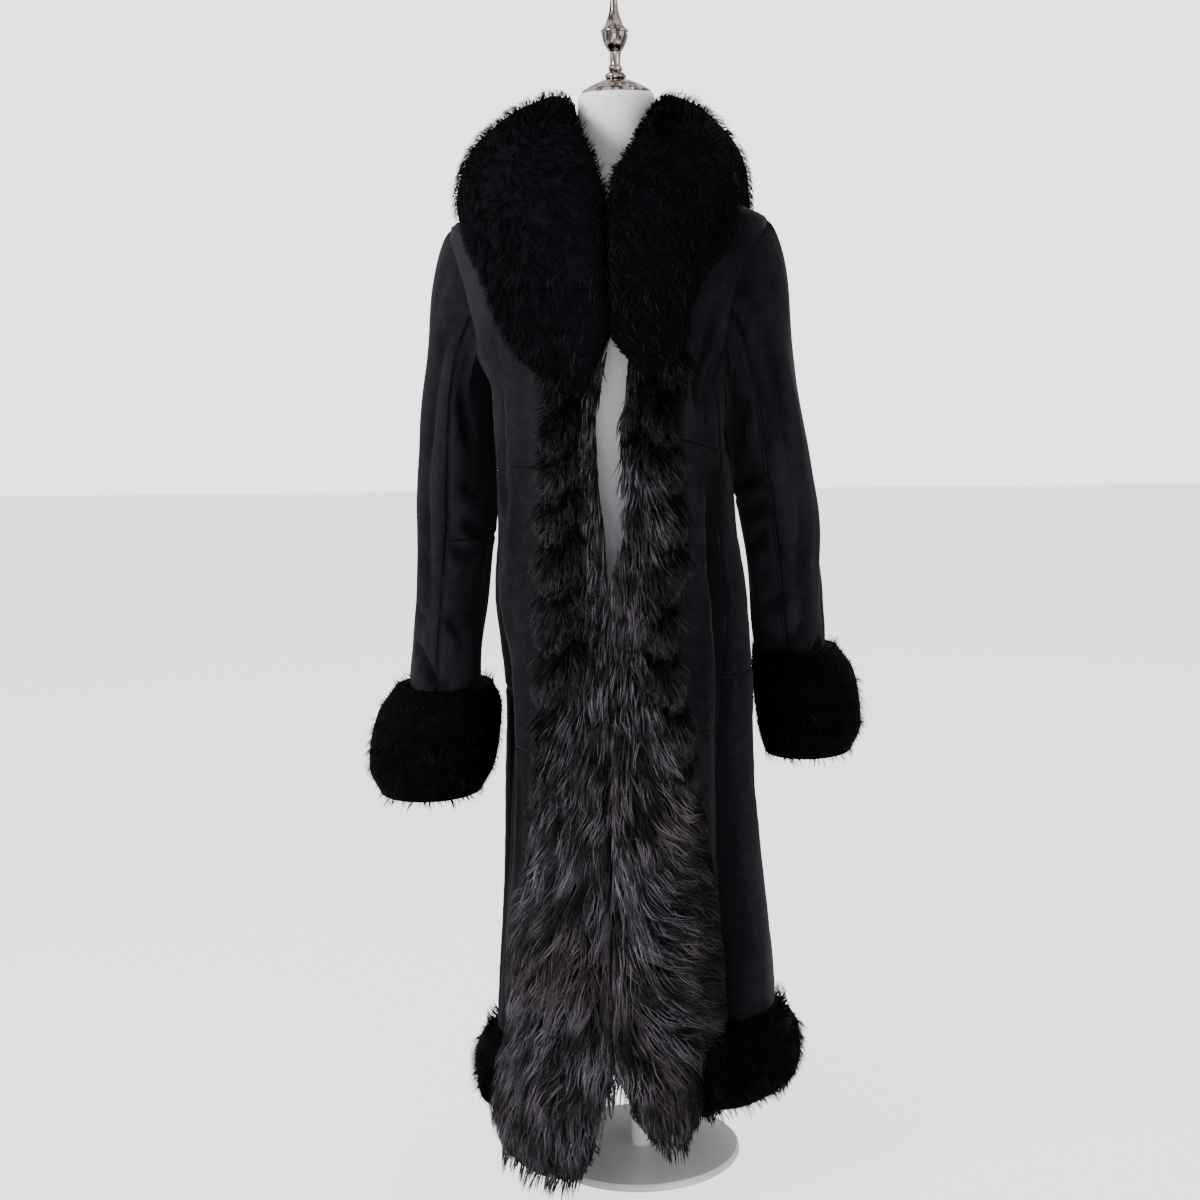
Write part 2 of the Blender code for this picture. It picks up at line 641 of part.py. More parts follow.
def slab(name, outer, inner, finish, wrap=False, mask=None):
    """A closed solid between two grids of points, over the cells of a mask."""
    rows, columns = outer.shape[:2]
    cells = columns if wrap else columns - 1
    if mask is None:
        mask = np.ones((rows - 1, cells), bool)
    padded = np.pad(mask, ((1, 1), (0, 0)))
    below, above = padded[:-2], padded[2:]
    if wrap:
        left, right = np.roll(mask, 1, axis=1), np.roll(mask, -1, axis=1)
    else:
        padded = np.pad(mask, ((0, 0), (1, 1)))
        left, right = padded[:, :-2], padded[:, 2:]
    number = np.arange(rows * columns).reshape(rows, columns)
    shift = rows * columns
    faces = []
    for row in range(rows - 1):
        for place in range(cells):
            if not mask[row, place]:
                continue
            beside = (place + 1) % columns
            a, b = number[row, place], number[row, beside]
            c, d = number[row + 1, beside], number[row + 1, place]
            faces += [(a, b, c), (a, c, d)]
            faces += [(a + shift, c + shift, b + shift), (a + shift, d + shift, c + shift)]
            if not below[row, place]:
                faces += wall(a, b, shift)[:, ::-1].tolist()
            if not above[row, place]:
                faces += wall(d, c, shift).tolist()
            if not left[row, place]:
                faces += wall(a, d, shift).tolist()
            if not right[row, place]:
                faces += wall(b, c, shift)[:, ::-1].tolist()
    points = np.vstack([outer.reshape(-1, 3), inner.reshape(-1, 3)])
    faces = np.array(faces)
    used = np.unique(faces)
    place_of = np.zeros(len(points), int)
    place_of[used] = np.arange(len(used))
    return add_object(name, points[used], place_of[faces], finish)


def wall(low, high, shift):
    """Two triangles between an edge of the outer grid and the same edge of the inner one. Both
    solids at a seam cut the wall along the same diagonal, so that their walls stay apart."""
    return np.array([(low, high, high + shift), (low, high + shift, low + shift)])


def pull_in(outer, inner, distance, wrap=False):
    """Moves each border of a pair of grids in from its seam by half a gap."""
    borders = [(np.s_[0, :], np.s_[1, :]), (np.s_[-1, :], np.s_[-2, :])]
    if not wrap:
        borders += [(np.s_[:, 0], np.s_[:, 1]), (np.s_[:, -1], np.s_[:, -2])]
    moves = []
    for border, next_in in borders:
        move = np.zeros_like(outer)
        move[border] = unit(outer[next_in] - outer[border]) * distance
        moves.append(move)
    total = sum(moves)
    return outer + total, inner + total


def panel(name, side, angles, heights, rows, columns):
    """A hide panel between named rows and columns of the grid."""
    first, last = (FIRST_ROW + ROW[row] for row in rows)
    block = np.s_[first : last + 1, columns[0] : columns[1] + 1]
    outer = hide_point(angles[block], heights[block])
    inner = hide_point(angles[block], heights[block], -WALL)
    outer, inner = pull_in(outer, inner, GAP / 2)
    return slab(f"{name}_{side}", outer, inner, "suede")


def fur_pad(name, side, angles, heights, block, thickness, spread, finish, mask=None):
    """A pad of fur on the hide: its underside is the grid moved out, its top the fur's reach.
    spread moves the top's borders sideways: below, above, first column, last column."""
    under = hide_point(angles[block], heights[block], GAP)
    top = hide_point(angles[block], heights[block], GAP + thickness)
    under, top = pull_in(under, top, GAP / 2)
    grid_up = unit(top[1:] - top[:-1])
    grid_across = unit(top[:, 1:] - top[:, :-1])
    below, above, first, last = spread
    top[0] -= grid_up[0] * below
    top[-1, 1:] += grid_up[-1, 1:] * above
    top[:, 0] -= grid_across[:, 0] * first
    top[:, -1] += grid_across[:, -1] * last
    return slab(f"{name}_{side}", top, under, finish, mask=mask)


def dome(rows, columns, edge, middle, power=0.5):
    """Thickness over a grid: edge at the borders, rising to middle."""
    up = np.sin(math.pi * np.linspace(0.0, 1.0, rows)) ** power
    across = np.sin(math.pi * np.linspace(0.0, 1.0, columns)) ** power
    return edge + (middle - edge) * np.minimum(up[:, None] * 3.0, 1.0) * across[None, :]


# ---------------------------------------------------------------- the coat's panels and trims


def make_body(side):
    """Front, side and back panels of one side, and the furs that lie on them."""
    angles, heights = body_grid(side)
    fronts = (HIDE_EDGE, PRINCESS)
    panels = (
        ("front_skirt", ("hem", "hip_seam"), fronts),
        ("front_hip", ("hip_seam", "waist_seam"), fronts),
        ("front_bodice", ("waist_seam", "neck_edge"), fronts),
        ("side_skirt_lower", ("hem", "side_hip_seam"), (PRINCESS, SIDE_BACK)),
        ("side_skirt_upper", ("side_hip_seam", "waist_seam"), (PRINCESS, SIDE_BACK)),
        ("side_bodice", ("waist_seam", "armhole_1"), (PRINCESS, SIDE_BACK)),
        ("back_skirt_lower", ("hem", "side_hip_seam"), (SIDE_BACK, CENTRE_BACK)),
        ("back_skirt_upper", ("side_hip_seam", "waist_seam"), (SIDE_BACK, CENTRE_BACK)),
        ("back_bodice", ("waist_seam", "neck_edge"), (SIDE_BACK, CENTRE_BACK)),
    )
    for name, rows, columns in panels:
        panel(name, side, angles, heights, rows, columns)
    make_front_furs(side, angles, heights)
    make_hem_fur(side, angles, heights)
    return angles, heights


def make_front_furs(side, angles, heights):
    """The long pile down the front edge, and the fox strip beside it."""
    top_row = FIRST_ROW + ROW["bodice_2"]
    fox_row = FIRST_ROW + ROW["fox_end"]
    rows, columns = top_row + 1, TRIM_OUTER + 1
    thickness = dome(rows, columns, 0.012, 0.034)
    thickness[0] = 0.010
    thickness[1] = np.maximum(thickness[1] * 0.8, 0.012)
    mask = np.ones((rows - 1, columns - 1), bool)
    mask[fox_row:, PILE_OUTER:] = False
    block = np.s_[BELOW_HEM : top_row + 1, FUR_EDGE : TRIM_OUTER + 1]
    pile_angles, pile_heights = angles.copy(), heights.copy()
    inset = np.radians(0.08) * SIDES[side]
    pile_angles[fox_row + 1 :, PILE_OUTER] -= inset
    pile_heights[fox_row, PILE_OUTER + 1 :] -= GAP
    pile_heights[fox_row, PILE_OUTER] -= GAP
    pile_angles[fox_row, PILE_OUTER] -= inset
    spread = (0.004, 0.0, 0.0, 0.0)
    fur_pad("front_pile", side, pile_angles, pile_heights, block, thickness, spread, "long_pile", mask)
    block = np.s_[fox_row : top_row + 1, PILE_OUTER : TRIM_OUTER + 1]
    fox = thickness[fox_row:, PILE_OUTER:].copy()
    fox[:, 1] = 0.030
    fox[:, -1] = 0.013
    fox[0, 1:] = np.minimum(fox[0, 1:], 0.016)
    fur_pad("front_fox", side, angles, heights, block, fox, (0.0, 0.0, 0.0, 0.006), "black_fox")


def make_hem_fur(side, angles, heights):
    """The fox band round the hem, from the front trim to the centre back."""
    top_row = FIRST_ROW + ROW["band_top"]
    block = np.s_[BELOW_HEM : top_row + 1, TRIM_OUTER : CENTRE_BACK + 1]
    columns = CENTRE_BACK + 1 - TRIM_OUTER
    profile = np.array([0.012, 0.033, 0.035, 0.014])
    thickness = profile[:, None] * np.ones(columns)[None, :]
    thickness[:, 0] = (0.010, 0.012, 0.014, 0.012)
    fur_pad("hem_fur", side, angles, heights, block, thickness, (0.002, 0.008, 0.0, 0.0), "black_fox")


# ---------------------------------------------------------------- sleeves and cuffs


def sleeve_ring(side, height):
    """Twelve points round the sleeve: column 0 outside, 3 in front, 6 next to the body, 9 behind."""
    table = SLEEVE_SECTIONS[side]
    heights = column(table, SLEEVE_COLUMNS, "height")
    x, y, width, depth = (
        smooth(height, heights, column(table, SLEEVE_COLUMNS, name)) for name in SLEEVE_COLUMNS[1:]
    )
    turn = np.radians(30.0) * np.arange(12)
    across = x + SIDES[side] * width * np.cos(turn)
    return np.stack([across, y - depth * np.sin(turn), np.full(12, float(height))], axis=-1)


def armhole_ring(side, angles, heights):
    """The armhole's twelve points: shoulder, down the front, under the arm and up the back."""
    row = {name: FIRST_ROW + index for name, index in ROW.items()}
    front = [(row[name], PRINCESS) for name in ("armhole_4", "armhole_3", "armhole_2", "armhole_1")]
    under = [(row["armhole_1"], PRINCESS + place) for place in (1, 2, 3)]
    back = [(row[name], SIDE_BACK) for name in ("armhole_1", "armhole_2", "armhole_3", "armhole_4")]
    places = [(row["shoulder_point"], PRINCESS), *front, *under, *back]
    picked = tuple(np.array(places).T)
    points = hide_point(angles[picked], heights[picked])
    points[:, 0] += SIDES[side] * GAP
    return points


def sleeve_grid(side, angles, heights):
    """All rings of the sleeve from the armhole to its end, and the row numbers of its seams."""
    sign = SIDES[side]
    start = armhole_ring(side, angles, heights)
    end = sleeve_ring(side, BICEP_HEIGHT)
    turn = np.radians(30.0) * np.arange(12)
    top = (1.0 + np.cos(turn)) / 2
    leave = np.stack([sign * (0.25 + 0.75 * top), np.zeros(12), -(1.0 - 0.8 * top)], axis=-1)
    reach = np.linalg.norm(end - start, axis=-1, keepdims=True)
    leave = unit(leave) * reach * 0.40
    arrive = unit(sleeve_ring(side, BICEP_HEIGHT - 0.01) - end) * reach * 1.3
    rings = [start]
    for t in HEAD_STEPS:
        rings.append(
            start * (1 + 2 * t) * (1 - t) ** 2
            + leave * t * (1 - t) ** 2
            + end * t**2 * (3 - 2 * t)
            + arrive * t**2 * (t - 1)
        )
    upper = np.linspace(BICEP_HEIGHT, ELBOW_SEAM[side], UPPER_ARM_STEPS + 1)
    lower = np.linspace(ELBOW_SEAM[side], SLEEVE_END[side], FOREARM_STEPS + 1)
    rings += [sleeve_ring(side, height) for height in (*upper, *lower[1:])]
    elbow = len(HEAD_STEPS) + 1 + UPPER_ARM_STEPS
    return np.array(rings), elbow


def tube_normals(grid, sign):
    """Outward normals of a grid of rings that run down a sleeve."""
    along = np.gradient(grid, axis=0)
    along[0] = grid[1] - grid[0]
    around = np.roll(grid, -1, axis=1) - np.roll(grid, 1, axis=1)
    return unit(np.cross(around, along) * sign)


def tube_piece(name, grid, inner, rows, columns):
    """A piece of the sleeve between two ring rows and two columns round it."""
    places = [place % 12 for place in range(columns[0], columns[1] + 1)]
    outer = grid[rows[0] : rows[1] + 1][:, places]
    inside = inner[rows[0] : rows[1] + 1][:, places]
    outer, inside = pull_in(outer, inside, GAP / 2)
    return slab(name, outer, inside, "suede")


def make_sleeve(side, angles, heights):
    """Top sleeve, the two under sleeves and the fur cuff."""
    sign = SIDES[side]
    grid, elbow = sleeve_grid(side, angles, heights)
    normals = tube_normals(grid, sign)
    inner = grid - normals * WALL
    inner[0, :, 0] = np.where(sign * inner[0, :, 0] < sign * grid[0, :, 0], grid[0, :, 0], inner[0, :, 0])
    last = len(grid) - 1
    front, back = FRONT_SEAM_COLUMN, BACK_SEAM_COLUMN
    tube_piece(f"top_sleeve_{side}", grid, inner, (0, last), (back, front + 12))
    tube_piece(f"under_sleeve_upper_{side}", grid, inner, (0, elbow), (front, back))
    tube_piece(f"under_sleeve_lower_{side}", grid, inner, (elbow, last), (front, back))
    make_cuff(side, grid, normals)


def make_cuff(side, grid, normals):
    """The cuff's fur: a round band over the sleeve's end, thinner next to the body."""
    under = grid[-1 - CUFF_STEPS :] + normals[-1 - CUFF_STEPS :] * GAP
    drop = sleeve_ring(side, SLEEVE_END[side] - CUFF_DROP) + normals[-1] * GAP
    under = np.vstack([under, drop[None]])
    outward = np.vstack([normals[-1 - CUFF_STEPS :], normals[-1:]])
    outward[..., 2] = 0.0
    outward = unit(outward)
    turn = np.radians(30.0) * np.arange(12)
    outside, inside = CUFF_FUR[side]
    next_to_body = ((1.0 - np.cos(turn)) / 2) ** 3
    reach = outside + (inside - outside) * next_to_body
    share = np.array([0.45, 0.93, 1.0, 0.93, 0.45])
    top = under + outward * (share[:, None] * reach[None, :])[..., None]
    top[0, :, 2] -= 0.004
    top[-1, :, 2] += 0.004
    slab(f"cuff_fur_{side}", top, under, "black_fox", wrap=True)


# ---------------------------------------------------------------- collar


def make_collar(side):
    """Half of the shawl collar: a fat fur section carried from the centre back down the front."""
    sign = SIDES[side]
    table = COLLAR_BEHIND[side] + COLLAR_FRONT[side]
    behind = len(COLLAR_BEHIND[side])
    inner_angle, inner_height, outer_angle, outer_height, rise, upward, inside = (
        column(table, COLLAR_COLUMNS, name) for name in COLLAR_COLUMNS
    )
    for angle, height in ((inner_angle, inner_height), (outer_angle, outer_height)):
        angle[:behind] = np.radians(angle[:behind]) * sign
        angle[behind:] = BODY.angle_of(angle[behind:], height[behind:])
    seated = np.arange(len(table)) < behind - 1
    shares = np.array(COLLAR_BASE_SHARES)
    angle = inner_angle[:, None] + (outer_angle - inner_angle)[:, None] * shares
    height = inner_height[:, None] + (outer_height - inner_height)[:, None] * shares
    lift = np.full(angle.shape, LAPEL_CLEARANCE)
    lift[seated, -1] = GAP
    lift[behind - 1 : behind + 1, -1] += LAPEL_CLEARANCE / 2
    base = hide_point(angle, height, lift)
    inner, outer = base[:, -1], base[:, 0]
    across = outer - inner
    width = np.linalg.norm(across, axis=-1, keepdims=True)
    across = across / width
    normal = BODY.normal(angle[:, -1], height[:, -1]) + BODY.normal(angle[:, 0], height[:, 0])
    normal = unit(normal - across * np.sum(normal * across, axis=-1, keepdims=True))
    normal[:, 2] += upward
    normal = unit(normal)
    outline = np.array(COLLAR_OUTLINE)
    sideways = width * outline[:, 0] - inside[:, None] * outline[:, 2]
    upright = rise[:, None] * outline[:, 1]
    top = inner[:, None] + across[:, None] * sideways[..., None] + normal[:, None] * upright[..., None]
    rings = np.concatenate([top, base], axis=1)
    edge = np.where(np.arange(len(table)) < behind + 2, 0.0, LAPELS_MEET * sign) + GAP / 2
    rings[..., 0] = np.maximum(rings[..., 0] * sign, edge[:, None]) * sign
    rings[-1] = rings[-1] * 0.5 + rings[-1].mean(axis=0) * 0.5
    closed_loft(f"collar_{side}", rings, "black_fox")


def closed_loft(name, rings, finish, other_way=()):
    """A closed solid through rings of equal length, with fans over its two ends. Columns listed in
    other_way have their cells cut along the other diagonal."""
    count, around = rings.shape[:2]
    number = np.arange(count * around).reshape(count, around)
    first, last = count * around, count * around + 1
    faces = []
    for row in range(count - 1):
        for place in range(around):
            beside = (place + 1) % around
            a, b = number[row, place], number[row, beside]
            c, d = number[row + 1, beside], number[row + 1, place]
            if place in other_way:
                faces += [(a, b, d), (b, c, d)]
            else:
                faces += [(a, b, c), (a, c, d)]
    for place in range(around):
        beside = (place + 1) % around
        faces.append((first, number[0, beside], number[0, place]))
        faces.append((last, number[-1, place], number[-1, beside]))
    points = np.vstack([rings.reshape(-1, 3), rings[:1].mean(axis=1), rings[-1:].mean(axis=1)])
    return add_object(name, points, np.array(faces), finish)


# ---------------------------------------------------------------- the dress form


def shoulder_ring(grids, name):
    """One row of the coat's shoulders, moved in: down the right side's columns, up the left's."""
    row = FIRST_ROW + ROW[name]
    columns = [*range(HIDE_EDGE, PRINCESS + 1), *range(SIDE_BACK + 1, CENTRE_BACK + 1)]
    inward = np.where(np.array(columns) == PRINCESS, FORM_SEAT, FORM_CLEARANCE) + WALL
    halves = []
    for side in SIDES:
        angles, heights = grids[side]
        halves.append(hide_point(angles[row, columns], heights[row, columns], -inward))
    return np.vstack([halves[0], halves[1][-2::-1]])


def make_torso(grids):
    """The padded torso: rings below, the coat's own shoulders moved in, and the neck."""
    front = np.arange(0.5, PRINCESS - HIDE_EDGE + 1.0)
    front[1:] = np.arange(1.0, PRINCESS - HIDE_EDGE + 1.0)
    back = np.arange(1.0, CENTRE_BACK - SIDE_BACK + 1.0)
    half = np.concatenate([front * 90.0 / front[-1], 90.0 + back * 90.0 / back[-1]])
    turn = np.radians(np.concatenate([-half, half[-2::-1]]))
    form = Rings(FORM_RINGS, FORM_COLUMNS)
    rings = [form.point(turn, np.full(len(turn), height)) for height in form.heights]
    rings += [shoulder_ring(grids, name) for name in SHOULDER_ROWS]
    for height, radius, shift in NECK_RINGS:
        ring = np.stack([shift + radius * np.sin(turn), -radius * np.cos(turn)], axis=-1)
        rings.append(np.hstack([ring, np.full((len(turn), 1), height)]))
    closed_loft("form_torso", np.array(rings), "form_jersey", range(len(half) - 1, len(turn)))


def turned(name, profile, base_height, finish, steps):
    """A turned piece: a profile of radii and heights spun round the Z axis."""
    mesh = bmesh.new()
    points = [mesh.verts.new((radius, 0.0, base_height + height)) for radius, height in profile]
    edges = [mesh.edges.new(pair) for pair in zip(points, points[1:])]
    bmesh.ops.spin(
        mesh,
        geom=points + edges,
        cent=(0.0, 0.0, 0.0),
        axis=(0.0, 0.0, 1.0),
        angle=2.0 * math.pi,
        steps=steps,
        use_merge=True,
    )
    bmesh.ops.remove_doubles(mesh, verts=mesh.verts, dist=1e-6)
    bmesh.ops.recalc_face_normals(mesh, faces=mesh.faces)
    made = bpy.data.meshes.new(name)
    mesh.to_mesh(made)
    mesh.free()
    made.shade_smooth()
    made.set_sharp_from_angle(angle=math.radians(40.0))
    made.materials.append(material(finish))
    piece = bpy.data.objects.new(name, made)
    bpy.context.scene.collection.objects.link(piece)
    return piece


def make_stand():
    """Neck cap, finial, pole and base plate."""
    turned("neck_cap", CAP_PROFILE, NECK_TOP, "polished_nickel", FINE_TURN_STEPS)
    turned("finial", FINIAL_PROFILE, NECK_TOP, "polished_nickel", FINE_TURN_STEPS)
    bottom, top = BASE_THICKNESS + GAP, TORSO_BOTTOM - GAP
    pole = ((0.0, bottom), (POLE_RADIUS, bottom), (POLE_RADIUS, top), (0.0, top))
    turned("pole", pole, 0.0, "white_enamel", POLE_TURN_STEPS)
    base = (
        (0.0, 0.0),
        (BASE_RADIUS - 0.001, 0.0),
        (BASE_RADIUS, 0.001),
        (BASE_RADIUS, BASE_THICKNESS - 0.003),
        (BASE_RADIUS - 0.003, BASE_THICKNESS),
        (0.0, BASE_THICKNESS),
    )
    turned("base", base, 0.0, "white_enamel", BASE_TURN_STEPS)


def main():
    clear_scene()
    grids = {}
    for side in SIDES:
        angles, heights = make_body(side)
        grids[side] = (angles, heights)
        make_sleeve(side, angles, heights)
        make_collar(side)
    make_torso(grids)
    make_stand()


main()
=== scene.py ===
# %% [markdown]
# # A long shearling coat with fur trim, on a dress form
#
# The coat is cut from black suede-side-out shearling: narrow panels, joined by lapped and
# topstitched seams. A fat fox collar, fox cuffs and a fox hem band finish it, and a trim of tufted
# fox and long wavy grey-black shearling hair runs down both front edges. It hangs open on a white
# jersey-covered dress form.
#
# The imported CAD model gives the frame: where every piece is and how big. This file gives each piece
# its look. Every surface here is a function of two parameters, worked out with numpy, and the furs
# are thousands of tapered hairs made as joined meshes.

# %% Load the frame
import json
import math

import bpy
import numpy as np
from mathutils import Matrix, Vector

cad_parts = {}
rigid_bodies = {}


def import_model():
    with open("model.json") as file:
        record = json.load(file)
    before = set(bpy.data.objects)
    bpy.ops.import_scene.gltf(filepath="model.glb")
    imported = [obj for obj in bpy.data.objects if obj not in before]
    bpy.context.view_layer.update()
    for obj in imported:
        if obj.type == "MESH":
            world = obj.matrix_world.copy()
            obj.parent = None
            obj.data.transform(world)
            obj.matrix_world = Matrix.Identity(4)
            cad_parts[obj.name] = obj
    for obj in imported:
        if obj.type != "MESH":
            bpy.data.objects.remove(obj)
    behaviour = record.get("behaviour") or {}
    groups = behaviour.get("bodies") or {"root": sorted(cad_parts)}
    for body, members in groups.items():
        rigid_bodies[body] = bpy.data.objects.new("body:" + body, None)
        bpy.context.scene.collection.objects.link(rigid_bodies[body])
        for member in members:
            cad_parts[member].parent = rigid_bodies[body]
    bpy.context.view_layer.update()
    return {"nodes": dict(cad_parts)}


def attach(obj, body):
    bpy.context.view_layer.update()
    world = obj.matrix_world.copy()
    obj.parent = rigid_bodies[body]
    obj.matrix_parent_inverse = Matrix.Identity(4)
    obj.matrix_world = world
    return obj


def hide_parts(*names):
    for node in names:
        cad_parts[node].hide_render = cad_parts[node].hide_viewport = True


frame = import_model()

# %% [markdown]
# ## Camera
#
# A coat is shown at its best from a little above chest height and a few steps away, turned slightly
# to one side. The camera's three axes are worked out from its heading, its pitch and its roll.

# %% Camera
AZIMUTH = math.radians(9.0)
PITCH = math.atan(300.0 / 1946.0)
ROLL = math.radians(1.5)
CAMERA_AT = (0.3477, -2.4255, 1.118)
LENS = 58.38

level = np.array([-math.sin(AZIMUTH), math.cos(AZIMUTH), 0.0])
aim = level * math.cos(PITCH) + np.array([0.0, 0.0, -math.sin(PITCH)])
flat_right = np.array([math.cos(AZIMUTH), math.sin(AZIMUTH), 0.0])
flat_up = np.cross(flat_right, aim)
right = flat_right * math.cos(ROLL) - flat_up * math.sin(ROLL)
up = np.cross(right, aim)
turn_matrix = np.stack([right, up, -aim], axis=1)

camera_data = bpy.data.cameras.new("camera")
camera_data.lens = LENS
camera_data.sensor_width = 36.0
camera = bpy.data.objects.new("camera", camera_data)
camera.matrix_world = Matrix.Translation(CAMERA_AT) @ Matrix(turn_matrix.tolist()).to_4x4()
bpy.context.scene.collection.objects.link(camera)
bpy.context.scene.camera = camera
print("camera", CAMERA_AT, "lens", LENS)


# %% Meshes from arrays
def mesh_object(name, points, triangles, values=None, finishes=(), finish_of=None, sharp=60.0):
    """An object from an array of points and one of triangles. values holds named arrays with one
    number for each point, and finish_of the number of each triangle's finish."""
    points = np.asarray(points, np.float32)
    triangles = np.asarray(triangles, np.int32)
    mesh = bpy.data.meshes.new(name)
    mesh.vertices.add(len(points))
    mesh.vertices.foreach_set("co", points.ravel())
    mesh.loops.add(triangles.size)
    mesh.loops.foreach_set("vertex_index", triangles.ravel())
    mesh.polygons.add(len(triangles))
    mesh.polygons.foreach_set("loop_start", np.arange(0, triangles.size, 3, dtype=np.int32))
    for finish in finishes:
        mesh.materials.append(finish)
    if finish_of is not None:
        mesh.polygons.foreach_set("material_index", np.asarray(finish_of, np.int32))
    mesh.update(calc_edges=True)
    for key, numbers in (values or {}).items():
        layer = mesh.attributes.new(key, "FLOAT", "POINT")
        layer.data.foreach_set("value", np.asarray(numbers, np.float32).ravel())
    mesh.shade_smooth()
    if sharp:
        mesh.set_sharp_from_angle(angle=math.radians(sharp))
    made = bpy.data.objects.new(name, mesh)
    bpy.context.scene.collection.objects.link(made)
    return made


def unit(vectors):
    """Each vector over its own length."""
    return vectors / (np.linalg.norm(vectors, axis=-1, keepdims=True) + 1e-12)


def fade(at, start, end):
    """0 before start and 1 after end, along 3t^2 - 2t^3 between them."""
    t = np.clip((np.asarray(at, float) - start) / (end - start), 0.0, 1.0)
    return t * t * (3.0 - 2.0 * t)


def bell(at, middle, width):
    """1 at middle, falling off on both sides as exp(-(distance / width)^2)."""
    return np.exp(-(((np.asarray(at, float) - middle) / width) ** 2))


# %% [markdown]
# ## Writing shader maths as expressions
#
# A finish is a small graph of nodes. Written by hand such a graph is long, so three classes shorten
# it: `Wire` wraps an output socket and turns `+ - * /` into Math nodes, `Graph` makes any other
# node from its type, settings and inputs, and `Finish` is the graph of a material.


# %% Wires
def maths(operation, swapped=False):
    """A method of Wire that adds a Math node, with its two values in order or swapped."""

    def method(self, other):
        values = (other, self) if swapped else (self, other)
        return self.graph.wire(0, "ShaderNodeMath", {"operation": operation}, dict(enumerate(values)))

    return method


class Wire:
    """An output socket whose arithmetic adds Math nodes to its graph."""

    __add__, __radd__ = maths("ADD"), maths("ADD", swapped=True)
    __sub__, __rsub__ = maths("SUBTRACT"), maths("SUBTRACT", swapped=True)
    __mul__, __rmul__ = maths("MULTIPLY"), maths("MULTIPLY", swapped=True)
    __truediv__, __rtruediv__ = maths("DIVIDE"), maths("DIVIDE", swapped=True)
    least, most = maths("MINIMUM"), maths("MAXIMUM")

    def __init__(self, graph, socket):
        self.graph = graph
        self.socket = socket

    def alone(self, operation):
        """A Math node that takes one value."""
        return self.graph.wire(0, "ShaderNodeMath", {"operation": operation}, {0: self})

    def within(self, low, high):
        """The value, but no less than low and no more than high."""
        return self.most(low).least(high)

    def near(self, middle, width):
        """1 where the value is middle, falling to 0 at width away from it."""
        return (1.0 - (self - middle).alone("ABSOLUTE") / width).most(0.0)


# %% Graphs and finishes
class Graph:
    """A tree of shader nodes."""

    def __init__(self, tree):
        self.tree = tree

    def node(self, kind, settings=None, inputs=None):
        """Any node: its settings are set first, then values or wires go to its sockets."""
        made = self.tree.nodes.new(kind)
        for key, value in (settings or {}).items():
            setattr(made, key, value)
        for key, value in (inputs or {}).items():
            self.feed(made.inputs[key], value)
        return made

    def wire(self, output, kind, settings=None, inputs=None):
        """One output of a new node."""
        return Wire(self, self.node(kind, settings, inputs).outputs[output])

    def feed(self, socket, value):
        if isinstance(value, Wire):
            self.tree.links.new(value.socket, socket)
        else:
            socket.default_value = value


class Finish(Graph):
    """A material with a Principled shader, and short ways to feed it."""

    def __init__(self, name, **constants):
        self.material = bpy.data.materials.new(name)
        self.material.use_nodes = True
        super().__init__(self.material.node_tree)
        self.shader = self.tree.nodes["Principled BSDF"]
        for key, value in constants.items():
            self.shader.inputs[key.replace("_", " ")].default_value = value

    def place(self):
        """The point in the object's own coordinates."""
        return self.wire("Object", "ShaderNodeTexCoord")

    def stretched(self, scale):
        """The object's own coordinates, stretched along each axis."""
        return self.wire("Vector", "ShaderNodeMapping", None, {"Vector": self.place(), "Scale": scale})

    def cloud(self, scale, detail, at=None, roughness=0.55):
        """Noise around 0.5 with features of 1 / scale metres."""
        inputs = {"Vector": at or self.place(), "Scale": scale, "Detail": detail, "Roughness": roughness}
        return self.wire("Fac", "ShaderNodeTexNoise", None, inputs)

    def value(self, name):
        """A number stored on the mesh for each point."""
        return self.wire("Fac", "ShaderNodeAttribute", {"attribute_name": name})

    def blend(self, share, first, second):
        """A colour between two colours."""
        made = self.node("ShaderNodeMix", {"data_type": "RGBA"}, {"Factor": share})
        for name, colour in (("A", first), ("B", second)):
            socket = [s for s in made.inputs if s.name == name and s.type == "RGBA"][0]
            self.feed(socket, colour if isinstance(colour, Wire) else (*colour, 1.0))
        return Wire(self, [s for s in made.outputs if s.type == "RGBA"][0])

    def bump(self, height, distance, strength):
        inputs = {"Height": height, "Distance": distance, "Strength": strength}
        self.feed(self.shader.inputs["Normal"], self.wire("Normal", "ShaderNodeBump", None, inputs))

    def paint(self, colour, roughness=None):
        self.feed(self.shader.inputs["Base Color"], colour)
        if roughness is not None:
            self.feed(self.shader.inputs["Roughness"], roughness)


print("shader helpers ready")

# %% [markdown]
# ## The studio
#
# A pale matt floor and four soft square lamps. Black suede needs a bright room, but a floor bright
# enough to look white would light the coat from below. So the floor and the sky give off some plain
# white to the camera alone.


# %% Floor and lights
def white_to_camera(graph, shader, output, share):
    """Mixes plain white light into a surface where the camera sees it itself, so that the backdrop
    is bright and the light on the coat stays as it is."""
    glow = graph.wire(0, "ShaderNodeEmission", None, {"Strength": 3.2})
    seen = graph.wire("Is Camera Ray", "ShaderNodeLightPath") * share
    under = Wire(graph, graph.tree.nodes[shader].outputs[0])
    mixed = graph.wire(0, "ShaderNodeMixShader", None, {0: seen, 1: under, 2: glow})
    graph.feed(graph.tree.nodes[output].inputs["Surface"], mixed)


